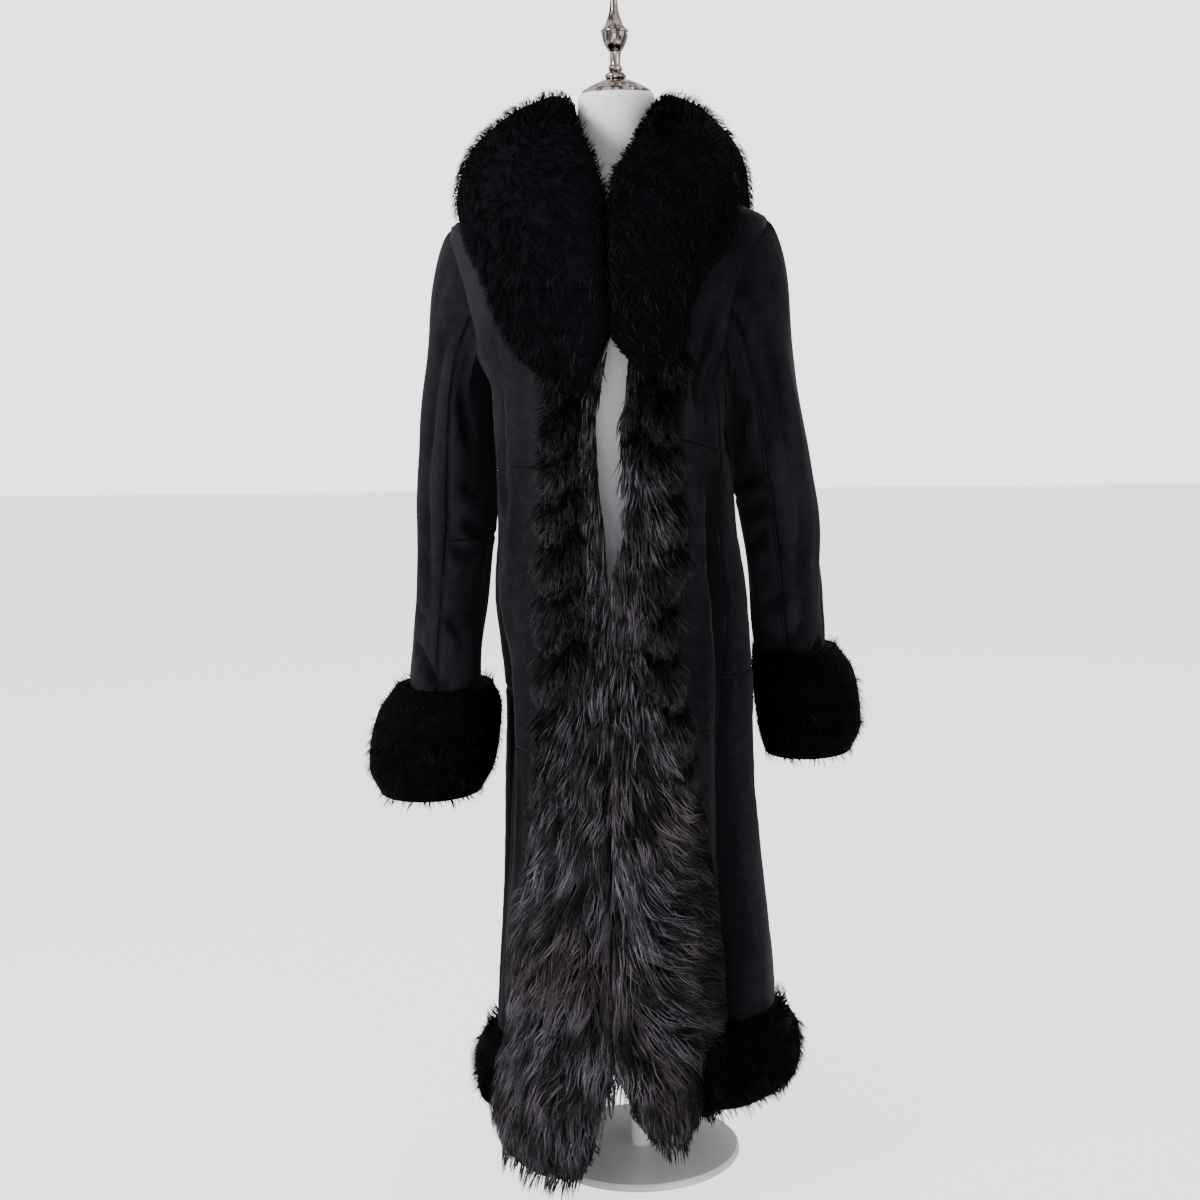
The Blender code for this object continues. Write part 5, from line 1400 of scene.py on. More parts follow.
def hair(bed, seed, hairs, locks, length, rise, width, lay, tone, uneven, wave, draw, steps,
         where=None, fit=everywhere, pale=everywhere, calm=everywhere, streak=0.3):
    """Points, triangles, tones and strands of a combed fur. length, rise and width are the least
    and most of a lock's hair, and draw says how far the tips draw in towards the middle of their
    lock. fit and pale are shares of the length and tone at a place, and calm of the wave and of
    the drawing in. Most locks are dark and a few are light."""
    rng = np.random.default_rng(seed)
    middles = bed.scatter(locks, rng, where)
    roots = bed.scatter(hairs, rng, where)
    lock_of = nearest_lock(bed.at(*roots, np.zeros(hairs)), bed.at(*middles, np.zeros(locks)))
    lock_length = rng.uniform(*length, locks) * fit(*middles)
    lock_rise = np.stack([np.full(locks, rise[0]), rng.uniform(*rise[1:], locks)])
    still = calm(*middles)
    swing = rng.uniform(0.5, 1.3, locks) * wave[0] * still
    pitch, phase = rng.uniform(0.8, 1.3, locks) * wave[1], rng.uniform(0, 1, locks)
    lock_lean = rng.normal(0.0, uneven, locks)

    def leaning(lean):
        def laid(points, across, up):
            way = lay(points, across, up)
            out = bed.frame(across, up)[2]
            return way * np.cos(lean)[:, None] + np.cross(out, unit(way)) * np.sin(lean)[:, None]
        return laid

    lock_wave = swing, pitch, phase
    lock_paths, _ = comb(bed, *middles, leaning(lock_lean), lock_length, lock_rise, lock_wave, steps)
    own_length = lock_length[lock_of] * rng.uniform(0.72, 1.08, hairs)
    own_rise = lock_rise[:, lock_of] * np.stack([np.ones(hairs), rng.uniform(0.86, 1.06, hairs)])
    own_lean = lock_lean[lock_of] + rng.normal(0.0, 0.10, hairs)
    own_wave = swing[lock_of], pitch[lock_of], phase[lock_of] + rng.normal(0, 0.04, hairs)
    paths, outs = comb(bed, *roots, leaning(own_lean), own_length, own_rise, own_wave, steps)
    s = np.linspace(0.0, 1.0, steps + 1)[None, :, None]
    paths = paths + (lock_paths[lock_of] - paths) * (draw * still[lock_of])[:, None, None] * s**1.4
    points, triangles, along, strand = blades(paths, outs, rng.uniform(*width, hairs))
    lock_tone = tone[0] + (tone[1] - tone[0]) * rng.uniform(0, 1, locks) ** 1.6
    hair_tone = lock_tone[lock_of] * rng.uniform(1 - streak, 1 + streak, hairs) * pale(*roots)
    shade = hair_tone[:, None] * (0.25 + 1.1 * np.sin(np.pi * np.minimum(along * 0.8 + 0.05, 1.0)))
    return points, facing_out(points, triangles), shade.ravel(), strand


def under_fur(points, triangles, tone=0.05):
    """A closed form of one dark tone, in the same terms as a combed fur."""
    return points, facing_out(points, triangles), np.full(len(points), tone), np.zeros(len(points))


def fur_piece(name, node, side, parts, finish):
    """A fur as one mesh: its under-fur and all its hairs."""
    offset = np.cumsum([0] + [len(part[0]) for part in parts[:-1]])
    triangles = np.vstack([part[1] + start for part, start in zip(parts, offset)])
    points, tone, strand = (np.concatenate([part[place] for part in parts]) for place in (0, 2, 3))
    values = {"tone": tone, "strand": strand}
    piece = mesh_object(f"{name}_{side}", points, triangles, values, [finish], sharp=0)
    seat(piece, f"{node}_{side}")
    print(piece.name, "triangles", len(triangles))


print("hair helpers ready")

# %% [markdown]
# ## The fox collar
#
# The shawl collar is the fattest fur on the coat: a roll that stands up round the neck, covers the
# shoulders and ends in two lobes on the chest. Fox has guard hairs four to six centimetres long
# over dense under-fur. The under-fur is a dark roll, and the guard hairs are combed away from the
# neck and down, in uneven clumps that break up the outline.

# %% Tables of the collar
# Collar: stations from the centre back, along the neck and down the front edge, in millimetres.
# Behind the shoulder seam a station's edges are given by angle in degrees, and in front of it by x.
# rise is how far the fur stands up, upward turns it from the hide's normal towards +Z, and inside is
# its reach past the hide's edge.
COLLAR_COLUMNS = ("inner", "inner_height", "outer", "outer_height", "rise", "upward", "inside")
COLLAR_UNITS = (1, 1000, 1, 1000, 1000, 1, 1000)
COLLAR_MIDDLE = ((180, 1265, 180, 1175, 80, 0.9, 3), (157.5, 1265, 152, 1178, 82, 0.9, 3))
COLLAR_BEHIND = {
    "R": (
        *COLLAR_MIDDLE,
        (135, 1265, 128, 1200, 86, 0.9, 5), (112.5, 1265, 110, 1222, 95, 1, 12),
        (90, 1265, 90, 1226, 104, 1, 22),
    ),
    "L": (
        *COLLAR_MIDDLE,
        (135, 1265, 128, 1200, 84, 0.9, 5), (112.5, 1265, 110, 1226, 90, 1, 12),
        (90, 1265, 90, 1236, 96, 1, 18),
    ),
}
COLLAR_FRONT = {
    "R": (
        (-65.5, 1228, -174, 1195, 108, 1, 27), (-48, 1209, -168, 1168, 104, 0.8, 24),
        (-25, 1198, -160, 1147, 97, 0.6, 18), (-6, 1185, -151, 1128, 87, 0.4, 16),
        (1.5, 1150, -141, 1104, 76, 0.2, 19), (1, 1115, -130, 1080, 66, 0.1, 20),
        (-2, 1075, -108, 1050, 54, 0, 18), (-6, 1021, -76, 1018, 36, 0, 4),
    ),
    "L": (
        (53.5, 1228, 146, 1208, 98, 1, 6), (36, 1209, 145, 1182, 96, 0.8, 10),
        (25, 1200, 142, 1158, 92, 0.6, 20), (23, 1185, 134, 1135, 85, 0.4, 30),
        (23, 1150, 122, 1110, 73, 0.2, 33), (23, 1115, 108, 1086, 62, 0.1, 31),
        (24, 1075, 96, 1060, 50, 0, 24), (28, 1029, 84, 1026, 34, 0, 6),
    ),
}
LAPELS_MEET = 0.0090     # x of the plane where the two halves touch down the front
# Outline of the collar's fur across its width: share of the width, of the rise, and of inside.
COLLAR_OUTLINE = (
    (0.00, 0.12, 0.2),
    (0.00, 0.42, 0.9),
    (0.00, 0.74, 1.0),
    (0.12, 0.95, 0.9),
    (0.36, 1.00, 0.6),
    (0.64, 0.93, 0.3),
    (0.90, 0.74, 0.0),
    (1.06, 0.44, 0.0),
    (1.03, 0.14, 0.0),
)
COLLAR_BASE_SHARES = (1.0, 0.78, 0.54, 0.28, 0.0)
# How much further over the neck the fur reaches, for the first stations down the front.
COLLAR_INSIDE = {"R": (0.018, 0.033, 0.031, 0.018, 0.006, 0.0), "L": (0.018, 0.031, 0.026, 0.008, 0.0, 0.0)}
# How much of its width the fur's core takes down the front, station by station: hair does the rest.
COLLAR_SLIM = {
    "R": (1.0, 0.96, 0.92, 0.89, 0.87, 0.86, 0.88, 0.95),
    "L": (1.0, 0.97, 0.88, 0.78, 0.73, 0.75, 0.81, 0.92),
}
COLLAR_LOWER = (0.96, 0.92, 0.91, 0.95)    # how much of its rise the core takes beside the neck
LAPEL_CLEAR = 0.006      # under the loose part of the collar
print("collar stations", {side: len(COLLAR_BEHIND[side] + COLLAR_FRONT[side]) for side in SIDES})


# %% Collar roll
def collar_rings(side):
    """The collar's sections from the centre back to its lobe's end: nine points over the fur, from
    the neck edge to the outer edge, and five back under it along the coat."""
    sign = SIDES[side]
    table = np.array(COLLAR_BEHIND[side] + COLLAR_FRONT[side]) / COLLAR_UNITS
    behind = len(COLLAR_BEHIND[side])
    inner_angle, inner_height, outer_angle, outer_height, rise, upward, inside = (
        column(table, COLLAR_COLUMNS, name) for name in COLLAR_COLUMNS
    )
    for angle, height in ((inner_angle, inner_height), (outer_angle, outer_height)):
        angle[:behind] = np.radians(angle[:behind]) * sign
        angle[behind:] = BODY.angle_of(angle[behind:] / 1000, height[behind:])
    slim = np.concatenate([np.ones(behind), COLLAR_SLIM[side]])
    outer_angle = inner_angle + (outer_angle - inner_angle) * slim
    outer_height = inner_height + (outer_height - inner_height) * slim
    inside[behind - 1 : behind + 5] += COLLAR_INSIDE[side]
    rise[behind - 1 : behind + 3] *= COLLAR_LOWER
    shares = np.array(COLLAR_BASE_SHARES)
    angle = inner_angle[:, None] + (outer_angle - inner_angle)[:, None] * shares
    height = inner_height[:, None] + (outer_height - inner_height)[:, None] * shares
    lift = np.full(angle.shape, LAPEL_CLEAR)
    lift[: behind - 1, -1] = 2 * HALF_GAP
    lift[behind - 1 : behind + 1, -1] += LAPEL_CLEAR / 2
    base = hide_point(angle, height, lift)
    inner, outer = base[:, -1], base[:, 0]
    across = outer - inner
    width = np.linalg.norm(across, axis=-1, keepdims=True)
    across = across / width
    normal = BODY.normal(angle[:, -1], height[:, -1]) + BODY.normal(angle[:, 0], height[:, 0])
    normal = unit(normal - across * np.sum(normal * across, axis=-1, keepdims=True))
    normal[:, 2] += upward
    normal = unit(normal)
    outline = np.array(COLLAR_OUTLINE)
    sideways = width * outline[:, 0] - inside[:, None] * outline[:, 2]
    upright = rise[:, None] * outline[:, 1]
    top = inner[:, None] + across[:, None] * sideways[..., None] + normal[:, None] * upright[..., None]
    rings = np.concatenate([top, base], axis=1)
    edge = np.where(np.arange(len(table)) < behind + 2, 0.0, LAPELS_MEET * sign) + HALF_GAP
    rings[..., 0] = np.maximum(rings[..., 0] * sign, edge[:, None]) * sign
    rings[0, :, 0] = HALF_GAP * sign
    rings[-1] = rings[-1] * 0.5 + rings[-1].mean(axis=0) * 0.5
    return rings


def collar_bed(side):
    """The roll's skin and its reach on a fine grid: across runs from the centre back to the lobe's
    end, up from neck edge to outer edge. The skin lies between the reach and the middle of the
    base, at 0.92 of the way on the neck edge and 0.80 over the rest. Also the base's own rings."""
    rings = collar_rings(side)
    stations = np.linspace(0, len(rings) - 1, 8 * (len(rings) - 1) + 1)
    top = len(COLLAR_OUTLINE)
    over = refined(rings[:, :top], stations, np.linspace(0, 8, 33))
    base = through(rings[:, top:], stations, 0)
    middle = base.mean(axis=1, keepdims=True)
    share = 0.80 + 0.12 * fade(np.linspace(0, 1, 33), 0.50, 0.22)
    skin = middle + (over - middle) * share[None, :, None]
    return Bed(skin.transpose(1, 0, 2), over.transpose(1, 0, 2)), base


def closed_roll(bed, rise, base):
    """The under-fur as a closed loft: the bed at one rise, closed along the base and at its ends."""
    top = (bed.grids[0] + bed.depth * rise).transpose(1, 0, 2)
    return under_fur(*loft(np.concatenate([top, base], axis=1)), 0.0)


print("collar roll", collar_rings("R").shape)


# %% Collar hair
def level(vectors):
    """The direction of each vector seen from above."""
    return unit(vectors * np.array([1.0, 1.0, 0.0]))


def make_collar(side):
    """Under-fur, a dense short coat, longer guard hair, a few long pale hairs, and a fine fringe
    at the neck."""
    bed, base = collar_bed(side)
    seed = 20 + list(SIDES).index(side)

    def lay(points, across, up):
        """Away from the neck and down. On the neck side of the roll the hair goes up instead."""
        way = level(points) * 0.70
        way[:, 2] = 0.7 - 1.65 * fade(up, 0.10, 0.34)
        way[:, 0] += SIDES[side] * 0.20 * fade(across, 0.45, 0.7)
        return way

    def longer(across, up):
        return 0.85 + 0.40 * fade(across, 0.82, 1.0) * fade(up, 0.30, 0.50)

    def pale(across, up):
        lower = fade(across, 0.66, 0.86) * (fade(0.62 - up, 0.0, 0.2) if side == "R" else 1.0)
        return 0.55 + (1.2 if side == "R" else 2.0) * lower

    def at_neck(across, up):
        return fade(across, 0.36, 0.46) * fade(-up, -0.24, -0.10)

    coat = hair(bed, seed, 5000, 1100, (0.010, 0.019), (0.4, 1.00, 1.25), (0.0012, 0.0022), lay,
                (0.01, 0.13), 0.26, (0.20, 0.05), 0.14, 2)
    guard = hair(bed, seed + 2, 2300, 620, (0.018, 0.032), (0.4, 1.05, 1.36), (0.0009, 0.0017), lay,
                 (0.02, 0.17), 0.26, (0.25, 0.05), 0.22, 3, fit=longer)
    silver = hair(bed, seed + 4, 420, 420, (0.026, 0.044), (0.3, 1.10, 1.60), (0.0006, 0.0010), lay,
                  (0.15, 0.80), 0.26, (0.25, 0.05), 0.20, 3, fit=longer, pale=pale)
    neck = hair(bed, seed + 6, 800, 400, (0.010, 0.020), (0.4, 1.30, 2.20), (0.0006, 0.0011), lay,
                (0.04, 0.30), 0.26, (0.25, 0.05), 0.30, 3, where=at_neck)
    fur_piece("fox_collar", "collar", side, [closed_roll(bed, 0.60, base), coat, guard, silver, neck], FOX_PAINTED_LIT)


for side in SIDES:
    make_collar(side)

# %% [markdown]
# ## The front trim
#
# A broad strip of fur runs down each front edge. Above the hip it is two furs side by side:
# long-haired shearling along the edge, and fox in tufts that lie over each other like shingles.
# Below the hip the long-haired shearling takes the whole width. Its locks start at the front edge
# and sweep down and outwards in waves, like the bones of a fish, and its pale tips catch the light.


# %% Tufts
FUR_GAP = 0.0004         # from the hide to the skin of the furs that are sewn on it
# Heights where the fox's tufts start.
TUFT_TOPS = {
    "R": (1.060, 0.985, 0.928, 0.876, 0.826, 0.762, 0.694, 0.624, 0.560),
    "L": (1.070, 1.000, 0.940, 0.884, 0.820, 0.752, 0.690, 0.628, 0.570),
}
TRIM_ROWS = FIRST_ROW + ROW["bodice_2"]      # the trim's own rows of cells
BED_ROWS = FIRST_ROW + ROW["armhole_1"]      # its hair starts higher, under the collar's lobes
ROW_STEPS, COLUMN_STEPS = 8, 4               # fine steps in each of its cells
FOX_ROW = (FIRST_ROW + ROW["fox_end"]) / BED_ROWS
PILE_SHARE = PILE_OUTER / TRIM_OUTER


def fox_edge(across):
    """-1 at the inner border of the fox's strip and 1 at its outer border."""
    return ((across - PILE_SHARE) / (1.0 - PILE_SHARE) * 2.0 - 1.0).clip(-1.2, 1.2)


def tuft_share(side, height, edge):
    """0 at the foot of a tuft and 1 at its top, by height. The foot is round: 17 mm higher at the
    strip's borders than in its middle."""
    height = height - 0.017 * edge**2
    tops = np.array(TUFT_TOPS[side] + (0.500,))[::-1]
    at = np.clip(np.searchsorted(tops, height) - 1, 0, len(tops) - 2)
    return np.clip((height - tops[at]) / (tops[at + 1] - tops[at]), 0.0, 1.0)


def tuft_swell(side, height, edge):
    """A tuft's plumpness: the square root of sin(pi (1 - share)^1.4), fullest in its lower half."""
    return np.sqrt(np.sin(np.pi * (1.0 - tuft_share(side, height, edge)) ** 1.4).clip(0.0, 1.0))


print("tufts", {side: len(tops) for side, tops in TUFT_TOPS.items()})


# %% Trim bed
def trim_bed(side):
    """From the hide out to the fur's reach, over the trim's columns and from below the hem up to
    the chest. The reach is 12 mm at the borders and 34 mm in the middle, as the square root of a
    half sine across the strip. Above the hip there are two such arches, a low one for the pile and
    a high one for the fox, which swells with each tuft."""
    rows_at = np.linspace(0, BED_ROWS, ROW_STEPS * BED_ROWS + 1)
    columns_at = np.linspace(FUR_EDGE, TRIM_OUTER, COLUMN_STEPS * TRIM_OUTER + 1)
    fine = [refined(grid, rows_at, columns_at) for grid in GRIDS[side]]
    share = columns_at / TRIM_OUTER

    def arch(start, end):
        return np.sqrt(np.sin(np.pi * np.clip((share - start) / (end - start), 0.0, 1.0)).clip(0, 1))[None, :]

    low = 0.012 + 0.022 * arch(0.0, 1.0)
    swell = 0.35 + 0.72 * tuft_swell(side, fine[1], fox_edge(share)[None, :])
    high = 0.009 + 0.009 * arch(0.0, PILE_SHARE) + 0.027 * arch(PILE_SHARE * 0.8, 1.04) * swell
    reach = low + (high - low) * fade(fine[1], 0.54, 0.62)
    reach = reach * (0.35 + 0.65 * fade(rows_at, 0.0, 0.9))[:, None]
    return Bed(hide_surface(*fine, out=FUR_GAP), hide_surface(*fine, out=reach))


def pad(bed, rise, rows=np.s_[:], columns=np.s_[:]):
    """The under-fur of some of a bed's rows and columns as a closed slab: its skin below and the
    bed at one rise above. It thins out over the last two cells at every border, to a quarter."""
    skin, depth = bed.grids[0][rows, columns], bed.depth[rows, columns]
    down, across = (np.minimum(np.arange(n), np.arange(n)[::-1]) for n in skin.shape[:2])
    thin = 0.25 + 0.75 * fade(down, 0, 2.5)[:, None] * fade(across, 0, 2.5)[None, :]
    points, triangles, _ = shell(skin + depth * (thin * rise)[..., None], skin)
    return under_fur(points, triangles)


print("trim bed", trim_bed("R").depth.shape)

# %% Pile
# The pile beside the fox: height, its share of its own strip, and how pale it is, which is painted
# light: painted highlight where it is high and painted shade where it is low. On the left it falls
# across the tufts in one band of painted highlight under the chest.
PILE_COLUMNS = ("height", "share", "pale")
PILE_TABLE = {
    "R": (
        (0.50, 1.15, 1.00), (0.60, 1.15, 0.95), (0.66, 0.95, 0.85), (0.74, 0.55, 0.75),
        (0.90, 0.50, 1.05), (0.97, 0.50, 0.80), (1.06, 0.45, 0.50),
    ),
    "L": (
        (0.50, 1.25, 1.00), (0.60, 1.20, 0.85), (0.68, 1.00, 0.85), (0.76, 1.10, 0.70),
        (0.80, 1.25, 0.45), (0.845, 1.30, 0.50), (0.88, 1.35, 1.00), (0.915, 1.15, 0.95),
        (0.945, 0.45, 0.50), (0.975, 0.25, 0.30), (1.06, 0.25, 0.30),
    ),
}


def height_of(bed, across, up):
    """Height of the skin at a place."""
    return bed.at(across, up, np.zeros(np.shape(up)))[..., 2]


def beside(side, height, wanted):
    """One column of the pile's table at these heights."""
    table = PILE_TABLE[side]
    return reading(np.clip(height, table[0][0], table[-1][0]), table, PILE_COLUMNS, wanted)


def pile_border(side, height):
    """Where the pile gives way to the fox, across the trim."""
    return PILE_SHARE * beside(side, height, "share")


PAD_START = {"R": 0, "L": 3}      # fine rows left off the under-fur's foot
PAD_MORE = 6                      # and added at its top, under the collar
# How the pile leans: most, in degrees, and the share of the width where it gets there.
PILE_LEAN = {"R": (30.0, 0.90), "L": (68.0, 0.80)}
# Painted shade towards the pile's outer border: where it starts and is whole across the strip,
# and how much darker it makes the pile.
PILE_PAINTED_SHADE = {"R": (0.80, 1.06, 0.55), "L": (0.50, 0.98, 0.92)}


def pile_lay(side):
    """Down along the parting, and turning outwards across the strip, less where the strip is
    narrow and straight down over the hem."""
    most, full = PILE_LEAN[side]

    def lay(points, across, up):
        height = points[:, 2]
        wide = fade(height, 0.66, 0.48)
        lean = most * fade(across, 0.08, full) * (0.10 + 0.90 * wide)
        lean = lean * fade(height, 0.10, 0.27) + 2.0
        inward = (14.0 * fade(height, 0.84, 0.90) if side == "L" else 0.0) + 5.0 * fade(-height, -0.20, -0.13)
        lean = np.radians(lean - inward * fade(-across, -0.30, -0.05))
        return np.stack([SIDES[side] * np.sin(lean), 0 * lean, -np.cos(lean)], -1)
    return lay


print("pile leans", PILE_LEAN)


# %% Pile hair
def make_pile(side):
    """Under-fur, broad wavy locks, and fine pale hairs over them."""
    bed = trim_bed(side)
    seed = 30 + list(SIDES).index(side)
    near, far, loss = PILE_PAINTED_SHADE[side]

    def where(across, up):
        height = height_of(bed, across, up)
        parted = 1.0 - fade(-height, -0.215, -0.185) * fade(-across, -0.07, -0.02)
        return np.where(up < FOX_ROW, parted, fade(pile_border(side, height) - across, -0.02, 0.02))

    def pale(across, up):
        # Painted highlights and shade: paler by height and along the parting, darker outwards.
        light = beside(side, height_of(bed, across, up), "pale")
        return (1.0 - loss * fade(across, near, far)) * light * (0.75 + 0.35 * bell(across, 0.02, 0.10))

    def fit(across, up):
        over_hem = fade(-up, -0.10, -0.02)
        short = 1.0 - 0.50 * fade(up, FOX_ROW - 0.06, FOX_ROW + 0.08)
        return short * (1.0 - (0.72 + 0.08 * fade(across, 0.45, 0.90) if side == "L" else 0.58) * over_hem)

    def calm(across, up):
        by_the_fox = 1.0 - 0.60 * fade(up, FOX_ROW - 0.02, FOX_ROW + 0.10)
        return by_the_fox * (1.0 - 0.75 * fade(-up, -0.12, -0.02))

    shares = dict(where=where, fit=fit, pale=pale, calm=calm, streak=0.7)
    lay = pile_lay(side)
    locks = hair(bed, seed, 3500, 420, (0.055, 0.092), (0.02, 0.80, 1.15), (0.0015, 0.0028), lay,
                 (0.02, 0.56), 0.11, (0.34, 0.062), 0.70, 5, **shares)
    over = hair(bed, seed + 2, 1900, 380, (0.045, 0.082), (0.3, 0.92, 1.30), (0.0007, 0.0015), lay,
                (0.06, 1.50), 0.13, (0.36, 0.062), 0.60, 4, **shares)
    under = pad(bed, 0.22, np.s_[PAD_START[side] : ROW_STEPS * TRIM_ROWS + PAD_MORE])
    fur_piece("long_pile", "front_pile", side, [under, locks, over], PILE)


for side in SIDES:
    make_pile(side)


# %% Fox tufts beside the pile
def make_tufts(side):
    """Guard hair in shingled tufts: each tuft's hair fans out from its top and ends just below its
    foot, where the next tuft's top lies in its shadow."""
    bed = trim_bed(side)
    seed = 40 + list(SIDES).index(side)

    def lay(points, across, up):
        edge = fox_edge(across)
        lean = np.radians(3.0 + 38.0 * edge * (0.25 + 0.75 * tuft_share(side, points[:, 2], edge)))
        return np.stack([SIDES[side] * np.sin(lean), 0 * lean, -np.cos(lean)], -1)

    def where(across, up):
        height = height_of(bed, across, up)
        border = pile_border(side, height)
        outer = 1.0 - (0.13 * fade(height, 0.945, 0.990) if side == "L" else 0.0)
        return fade(across, border - 0.12, border) * (up > FOX_ROW) * fade(outer - across, 0.0, 0.06)

    def fit(across, up):
        return np.clip(0.34 + 1.0 * tuft_share(side, height_of(bed, across, up), fox_edge(across)), 0.34, 1.0)

    def pale(across, up):
        # Painted shade and highlight: darker at each tuft's top, under the collar and on the left side, paler
        # where it swells.
        height = height_of(bed, across, up)
        shaded = (1.0 if side == "R" else 0.76) * (1.0 - 0.68 * fade(height, 0.90, 0.99))
        return (0.16 + 1.05 * tuft_swell(side, height, fox_edge(across)) ** 2) * shaded

    shares = dict(where=where, fit=fit, pale=pale)
    coat = hair(bed, seed, 3400, 600, (0.020, 0.034), (0.1, 0.92, 1.18), (0.0011, 0.0021), lay,
                (0.25, 1.10), 0.14, (0.20, 0.06), 0.20, 3, **shares)
    silver = hair(bed, seed + 2, 520, 520, (0.024, 0.038), (0.3, 1.0, 1.30), (0.0006, 0.0011), lay,
                  (1.0, 2.6), 0.14, (0.20, 0.06), 0.20, 3, **shares)
    rows = np.s_[int(round(FOX_ROW * (bed.rows - 1))) : ROW_STEPS * TRIM_ROWS + PAD_MORE]
    under = pad(bed, 0.55, rows, np.s_[COLUMN_STEPS * PILE_OUTER :])
    fur_piece("fox_tufts", "front_fox", side, [under, coat, silver], TUFT)


for side in SIDES:
    make_tufts(side)

# %% [markdown]
# ## Hem band and cuffs
#
# A ring of the same fox finishes the hem and each sleeve. Round a tube the hair falls down and
# stands away from the edge that it is sewn to, so the band is a barrel with a soft brush of hair
# below it.


# %% Hem band
def hem_bed(side):
    """From the hide out to the reach: 12, 33, 35 and 14 mm from below the hem to the band's top."""
    rows_at = np.linspace(0, FIRST_ROW + ROW["band_top"], 17)
    columns_at = np.linspace(TRIM_OUTER, CENTRE_BACK, 6 * (CENTRE_BACK - TRIM_OUTER) + 1)
    fine = [refined(grid, rows_at, columns_at) for grid in GRIDS[side]]
    profile = smooth(rows_at, np.arange(4.0), np.array([0.012, 0.033, 0.035, 0.014]))
    reach = profile[:, None] * (0.45 + 0.55 * fade(columns_at, TRIM_OUTER, TRIM_OUTER + 1.0))[None, :]
    return Bed(hide_surface(*fine, out=FUR_GAP), hide_surface(*fine, out=reach))


def hem_lay(points, across, up):
    """Down over most of the band, and up and outwards along its top."""
    way = level(points) * 0.35
    way[:, 2] = -1.0 + 1.8 * fade(up, 0.72, 0.95)
    return way


def make_hem(side):
    """Under-fur, guard hair and pale tips round one side of the hem."""
    bed = hem_bed(side)
    seed = 50 + list(SIDES).index(side)
    coat = hair(bed, seed, 3000, 600, (0.012, 0.022), (0.3, 1.00, 1.12), (0.0010, 0.0019), hem_lay,
                (0.03, 0.20), 0.18, (0.20, 0.05), 0.14, 2)
    guard = hair(bed, seed + 2, 1000, 500, (0.016, 0.028), (0.3, 1.02, 1.20), (0.0008, 0.0014), hem_lay,
                 (0.10, 0.80), 0.18, (0.20, 0.05), 0.12, 3)
    fur_piece("fox_hem", "hem_fur", side, [pad(bed, 0.80), coat, guard], FOX)


for side in SIDES:
    make_hem(side)


# %% Cuffs
def cuff_bed(side):
    """Rings round the sleeve's end. The reach is a barrel: 0.45, 0.93, 1, 0.93 and 0.45 of the
    fur's thickness from top to bottom, which is 46 mm outside and less next to the body."""
    step = (ELBOW_SEAM[side] - SLEEVE_END[side]) / 8
    turn = np.linspace(0.0, 2 * np.pi, 73)
    heights = np.linspace(SLEEVE_END[side] + 3 * step, SLEEVE_END[side] - CUFF_DROP, 21)
    skin = sleeve_section(side, heights, turn)
    outward = level(tube_normals(side, skin))
    skin = skin + outward * FUR_GAP
    outside, inside = CUFF_FUR[side]
    reach = outside + (inside - outside) * ((1.0 - np.cos(turn)) / 2) ** 3
    share = smooth(np.linspace(0, 4, 21), np.arange(5.0), np.array([0.45, 0.93, 1.0, 0.93, 0.45]))
    return Bed(skin, skin + outward * (share[:, None] * reach[None, :])[..., None], closed=True)


def barrel(bed, rise):
    """The under-fur of a cuff: a closed tube between the skin and the bed at one rise."""
    skin = bed.grids[0][:, :-1]
    rings = np.concatenate([skin + bed.depth[:, :-1] * rise, skin[::-1]])
    number = np.arange(rings[..., 0].size).reshape(rings.shape[:2])
    after = np.roll(number, -1, axis=1)
    triangles = halved(number, after, np.roll(after, -1, axis=0), np.roll(number, -1, axis=0))
    return under_fur(rings.reshape(-1, 3), triangles)


def make_cuff(side):
    """Under-fur, guard hair that falls round the hand, and pale tips."""
    bed = cuff_bed(side)
    seed = 60 + list(SIDES).index(side)

    def lay(points, across, up):
        way = unit(points - bed.at(across, up, np.zeros(len(up)))) * np.array([1.0, 1.0, 0.0]) * 0.3
        way[:, 2] = 0.9 - 1.9 * fade(up, 0.05, 0.50)
        return way

    coat = hair(bed, seed, 2900, 700, (0.010, 0.018), (0.5, 0.98, 1.06), (0.0010, 0.0018), lay,
                (0.02, 0.18), 0.18, (0.20, 0.05), 0.12, 2)
    guard = hair(bed, seed + 2, 900, 500, (0.012, 0.020), (0.6, 1.02, 1.12), (0.0007, 0.0012), lay,
                 (0.10, 0.85), 0.18, (0.20, 0.05), 0.10, 3)
    fur_piece("fox_cuff", "cuff_fur", side, [barrel(bed, 0.86), coat, guard], FOX)


for side in SIDES:
    make_cuff(side)

# %% [markdown]
# ## The dress form
#
# A display form is a padded torso without arms, covered in white jersey pulled tight, on a pole
# with a round base. Where the coat rests on it, the form has the coat's own shoulder line, moved
# in by the thickness of the hide. Its neck ends in a turned nickel cap with a finial.

# %% Form
FORM_SEAT = 0.0005       # between the form and the coat along its shoulder seams, where it rests
FORM_CLEARANCE = 0.005   # between them beside the shoulder seams
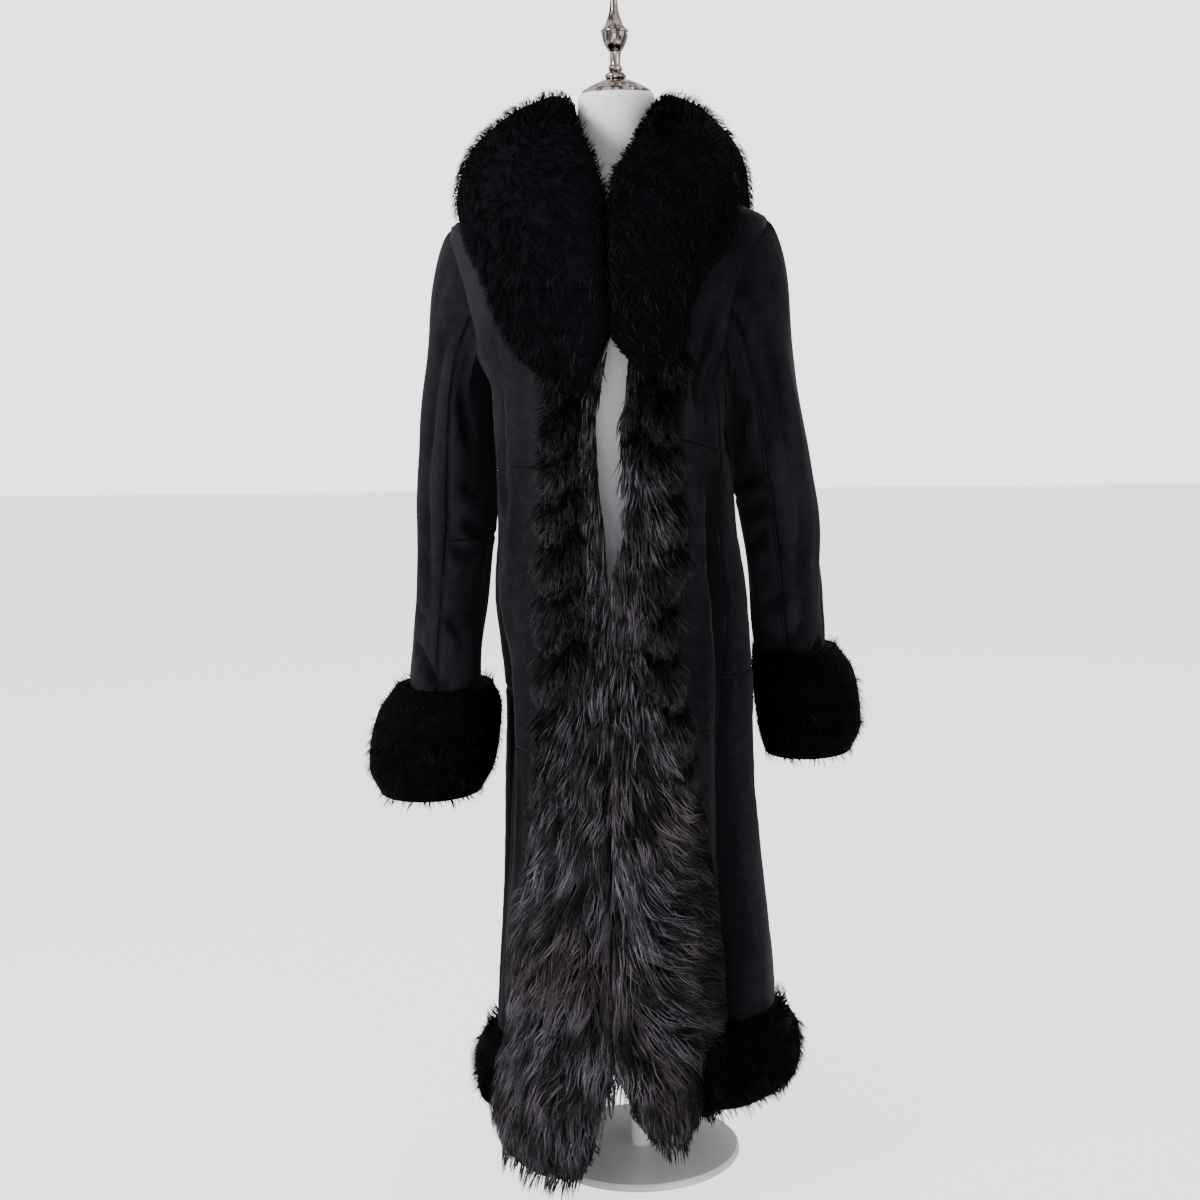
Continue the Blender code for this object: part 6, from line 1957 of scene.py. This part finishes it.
# Dress form: rings of its torso below the shoulders, in the body's columns and units, and the neck's
# circles in metres, by height, radius and shift sideways.
FORM_RINGS = np.array((
    (600, 126, 94, 100, 2.1, 0), (660, 134, 99, 108, 2.1, 0), (740, 122, 92, 98, 2.1, -1),
    (830, 103, 84, 84, 2.1, -3), (910, 114, 94, 88, 2.1, -6), (990, 130, 108, 96, 2.15, -9),
    (1060, 137, 105, 98, 2.2, -12), (1120, 150, 97, 96, 2.25, -14), (1165, 168, 87, 87, 2.3, -15),
)) / BODY_UNITS
NECK_RINGS = (
    (1.274, 0.0535, -0.003), (1.288, 0.0490, -0.002), (1.308, 0.0478, -0.001),
    (1.358, 0.0475, 0.0), (1.3645, 0.0460, 0.0), (1.367, 0.0440, 0.0),
)
NECK_TOP = NECK_RINGS[-1][0]
# The form's shoulder points are shorter than the coat's: by how much, and where that starts and is
# whole, measured from the form's middle.
SHORTER, SHORTER_FROM, SHORTER_TO = 0.007, 0.145, 0.175
FORM_MIDDLE = -0.015


def shoulder_ring(name):
    """One row of the coat's shoulders, moved in: down the right side's columns, up the left's."""
    row = FIRST_ROW + ROW[name]
    columns = np.r_[HIDE_EDGE : PRINCESS + 1, SIDE_BACK + 1 : CENTRE_BACK + 1]
    inward = np.where(columns == PRINCESS, FORM_SEAT, FORM_CLEARANCE) + WALL
    right, left = (hide_point(*(grid[row, columns] for grid in GRIDS[side]), -inward) for side in SIDES)
    return np.vstack([right, left[-2::-1]])


def form_rings():
    """The padded torso's rings from the bottom up: rounded rings, then the coat's own shoulders
    moved in, then the neck's circles."""
    front = np.array([0.5, *range(1, PRINCESS - HIDE_EDGE + 1)])
    back = np.arange(1.0, CENTRE_BACK - SIDE_BACK + 1.0)
    half = np.concatenate([front * 90.0 / front[-1], 90.0 + back * 90.0 / back[-1]])
    turn = np.radians(np.concatenate([-half, half[-2::-1]]))
    form = Rings(FORM_RINGS, BODY_COLUMNS)
    rings = [form.point(turn, np.full(len(turn), height)) for height in form.heights]
    rings += [shoulder_ring(name) for name in SHOULDER_START]
    for height, radius, shift in NECK_RINGS:
        ring = np.stack([shift + radius * np.sin(turn), -radius * np.cos(turn)], axis=-1)
        rings.append(np.hstack([ring, np.full((len(turn), 1), height)]))
    return np.array(rings)


def make_form():
    """The form as a closed loft: smooth curves through its rings, up the body and round it, with
    a flat disc at the bottom and at the top of the neck. Its shoulder points are shorter than the
    coat's, which keeps its pale cover away from the seams there."""
    rings = form_rings()
    around = rings.shape[1]
    ring_at = np.concatenate([np.linspace(0, 8, 41)[:-1], np.linspace(8, len(rings) - 1, 41)])
    wide = np.concatenate([rings[:, -3:], rings, rings[:, :4]], axis=1)
    points, triangles = loft(refined(wide, ring_at, np.linspace(3, 3 + around, 4 * around + 1))[:, :-1])
    across = points[:, 0] - FORM_MIDDLE
    points[:, 0] -= np.sign(across) * SHORTER * fade(np.abs(across), SHORTER_FROM, SHORTER_TO)
    piece = mesh_object("jersey_form", points, facing_out(points, triangles), {}, [JERSEY], sharp=50.0)
    return seat(piece, "form_torso")


FORM = make_form()
print("form triangles", len(FORM.data.polygons))

# %% [markdown]
# ## Stand
#
# The cap, pole and base are turned pieces, and the CAD's own shapes are right as they are. They only
# need their real finishes. The finial is turned again from a finer profile: a round bowl under a
# thin rim, and a hollow flare above it.

# %% Finial
# Radius, and height above the neck's top, in tenths of a millimetre.
FINIAL_PROFILE = (
    (0, 174), (105, 175), (130, 195), (130, 222), (105, 243), (72, 262), (87, 285), (87, 315),
    (70, 338), (67, 400), (67, 460), (74, 492), (96, 528), (126, 580), (150, 645), (160, 700),
    (160, 724), (170, 734), (171, 750), (156, 762), (132, 796), (104, 852), (78, 920), (60, 990),
    (49, 1065), (46, 1140), (60, 1162), (86, 1200), (95, 1250), (86, 1300), (50, 1338), (0, 1347),
)


def make_finial():
    """The profile through a smooth curve, turned round Z in 48 steps between two poles."""
    profile = np.array(FINIAL_PROFILE) / 10000
    radius, height = through(profile, np.linspace(0, len(profile) - 1, 3 * len(profile) - 2), 0)[1:-1].T
    turn = np.linspace(0.0, 2 * np.pi, 49)[:-1]
    x, y = radius[:, None] * np.cos(turn), radius[:, None] * np.sin(turn)
    rings = np.stack([x, y, np.broadcast_to(NECK_TOP + height[:, None], x.shape)], -1)
    points, triangles = loft(rings, [(0.0, 0.0, NECK_TOP + profile[end, 1]) for end in (0, -1)])
    piece = mesh_object("turned_finial", points, facing_out(points, triangles), {}, [NICKEL], sharp=55.0)
    return seat(piece, "finial")


print("finial triangles", len(make_finial().data.polygons))


# %% Stand finishes
for node, finish in (("neck_cap", NICKEL), ("pole", ENAMEL), ("base", ENAMEL)):
    for slot in frame["nodes"][node].material_slots:
        slot.material = finish
print("stand finished")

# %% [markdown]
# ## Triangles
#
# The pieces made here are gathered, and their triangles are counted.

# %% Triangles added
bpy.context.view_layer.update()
made_here = ("suede_", "fox_", "long_", "jersey_", "turned_")
added = [piece for piece in bpy.data.objects if piece.name.startswith(made_here)]
print("triangles added", sum(len(piece.data.polygons) for piece in added))
